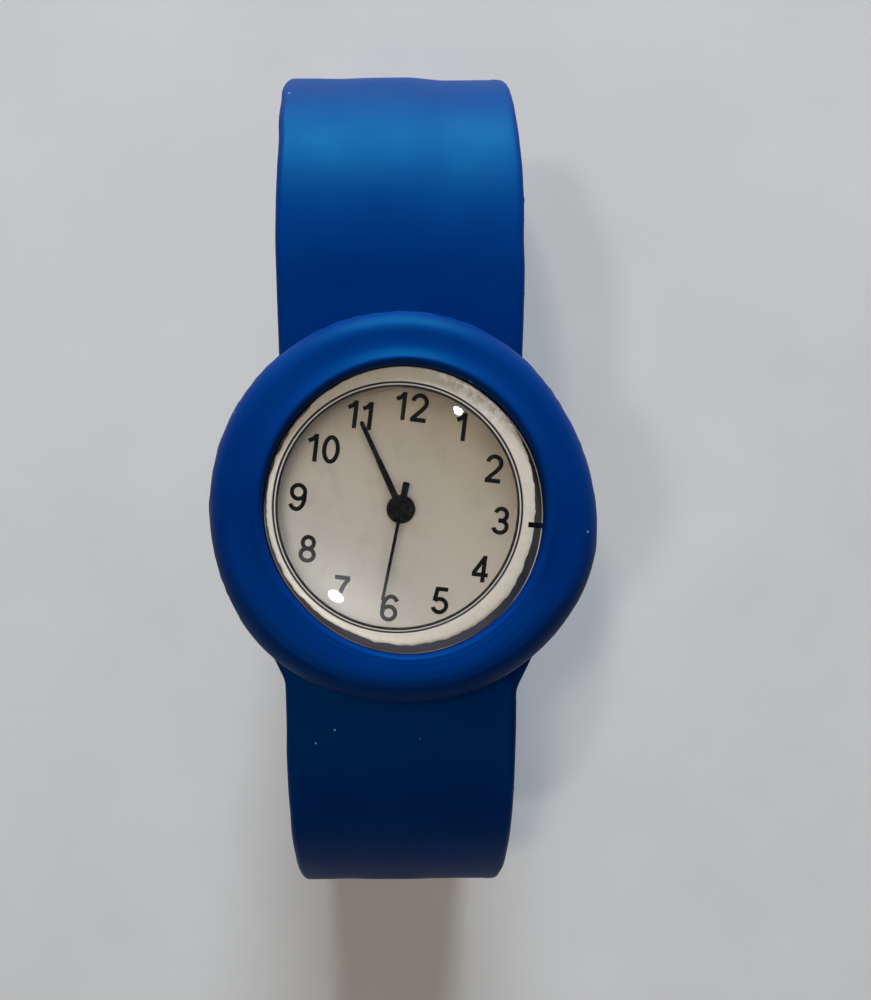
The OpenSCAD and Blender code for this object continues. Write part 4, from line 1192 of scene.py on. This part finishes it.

# %% [markdown]
# ## Floor and room
# The watch stands on a plain pale table in a dim room that is a little brighter towards the window. The table could
# be one large face. A grid is used, with slow noise in its tone.

# %% Floor and room
def floor(count=48, reach=1600.0):
    line = np.linspace(-reach, reach, count)
    corners = [j * count + i for j in range(count - 1) for i in range(count - 1)]
    faces = [(a, a + 1, a + count + 1, a + count) for a in corners]
    obj = new_object("floor", [(x, y, 0.0) for y in line for x in line], faces=faces)
    obj.data.materials.append(
        plain("floor", (0.47, 0.47, 0.47), (0.505, 0.505, 0.505), 0.0, (0.7, 0.85), 30.0, shine=0.0))
    return obj


def room():
    world = bpy.data.worlds.new("room")
    bpy.context.scene.world = world
    world.use_nodes = True
    steps = Nodes(world.node_tree)
    sky = world.node_tree.nodes["Background"]
    ahead = steps.parts(steps.add("ShaderNodeTexCoord").outputs["Generated"])["Y"]
    steps.feed(sky.inputs["Color"], (0.84, 0.87, 0.90, 1))
    steps.feed(sky.inputs["Strength"], steps.spread(ahead, -0.2, 1.0, 0.06, 0.18))


table = floor()
room()
print("table", [round(v, 2) for v in table.dimensions], "m")

# %% [markdown]
# ## Lamps
# A cool window lies beyond 12 o'clock, so the far side of the band is bright and the near side dark. Two warmer lamps
# stand high on the left, two small bulbs make the two white spots on the crystal, and a pale wall mirrors softly near
# the 7. One large lamp could light it all, but the photograph shows these apart. The window's glow on the silicone is
# a lamp of its own that is linked to the silicone alone, because the dial shows none of it.

# %% Lamps
AIM = Vector((0, 0, 0.06))


def area(name, way, far, size, power, colour, faded=False, mirrored=True, lit=True, only=None):
    # An oval lamp aimed at the ring; a faded one is brightest in its middle
    data = bpy.data.lights.new(name, "AREA")
    data.shape = "ELLIPSE"
    data.size, data.size_y = size
    data.energy = power
    data.color = colour
    if faded:
        data.use_nodes = True
        steps = Nodes(data.node_tree)
        spot = steps.add("ShaderNodeNewGeometry").outputs["Parametric"]
        off_middle = steps.measure("DISTANCE", spot, (0.5, 0.5, 0.0))
        steps.feed(data.node_tree.nodes["Emission"].inputs["Strength"], steps.spread(off_middle, 0.0, 0.5, 1, 0))
    obj = bpy.data.objects.new(name, data)
    bpy.context.scene.collection.objects.link(obj)
    obj.location = AIM + Vector(way).normalized() * far
    obj.rotation_euler = (AIM - obj.location).to_track_quat("-Z", "Y").to_euler()
    obj.visible_glossy = mirrored
    obj.visible_diffuse = obj.visible_transmission = lit
    obj.light_linking.receiver_collection = only


def silicone_skin():
    # The pieces that the window's glow is linked to
    skin = bpy.data.collections.new("silicone_skin")
    for obj in bpy.context.scene.objects:
        if obj.type == "MESH" and SILICONE.name in obj.data.materials:
            skin.objects.link(obj)
    return skin


area("window", (0.02, 0.94, 0.34), 1.8, (0.50, 0.40), 67.0, (0.80, 0.89, 1.0), mirrored=False)
area("window_glow", (0.0, 0.98, 0.18), 1.8, (1.2, 0.60), 80.0, (0.10, 0.74, 1.0), lit=False, only=silicone_skin())
area("side_lamp", (-0.39, 0.0, 0.92), 1.5, (0.14, 0.14), 3.6, (1.0, 0.97, 0.92), mirrored=False)
area("shelf_lamp", (-0.24, 0.26, 0.93), 1.5, (0.16, 0.16), 5.8, (1.0, 0.80, 0.56), mirrored=False)
area("far_bulb", (0.27, 0.38, 0.89), 0.75, (0.034, 0.028), 0.10, (1.0, 1.0, 1.0))
area("near_bulb", (-0.26, -0.41, 0.88), 0.75, (0.056, 0.038), 0.15, (1.0, 1.0, 1.0))
area("near_wall", (-0.24, -0.42, 0.88), 0.75, (0.58, 0.36), 2.3, (0.96, 0.98, 1.0), faded=True, lit=False)
bpy.context.scene.view_settings.view_transform = "Standard"
print("lamps", len(bpy.data.lights))
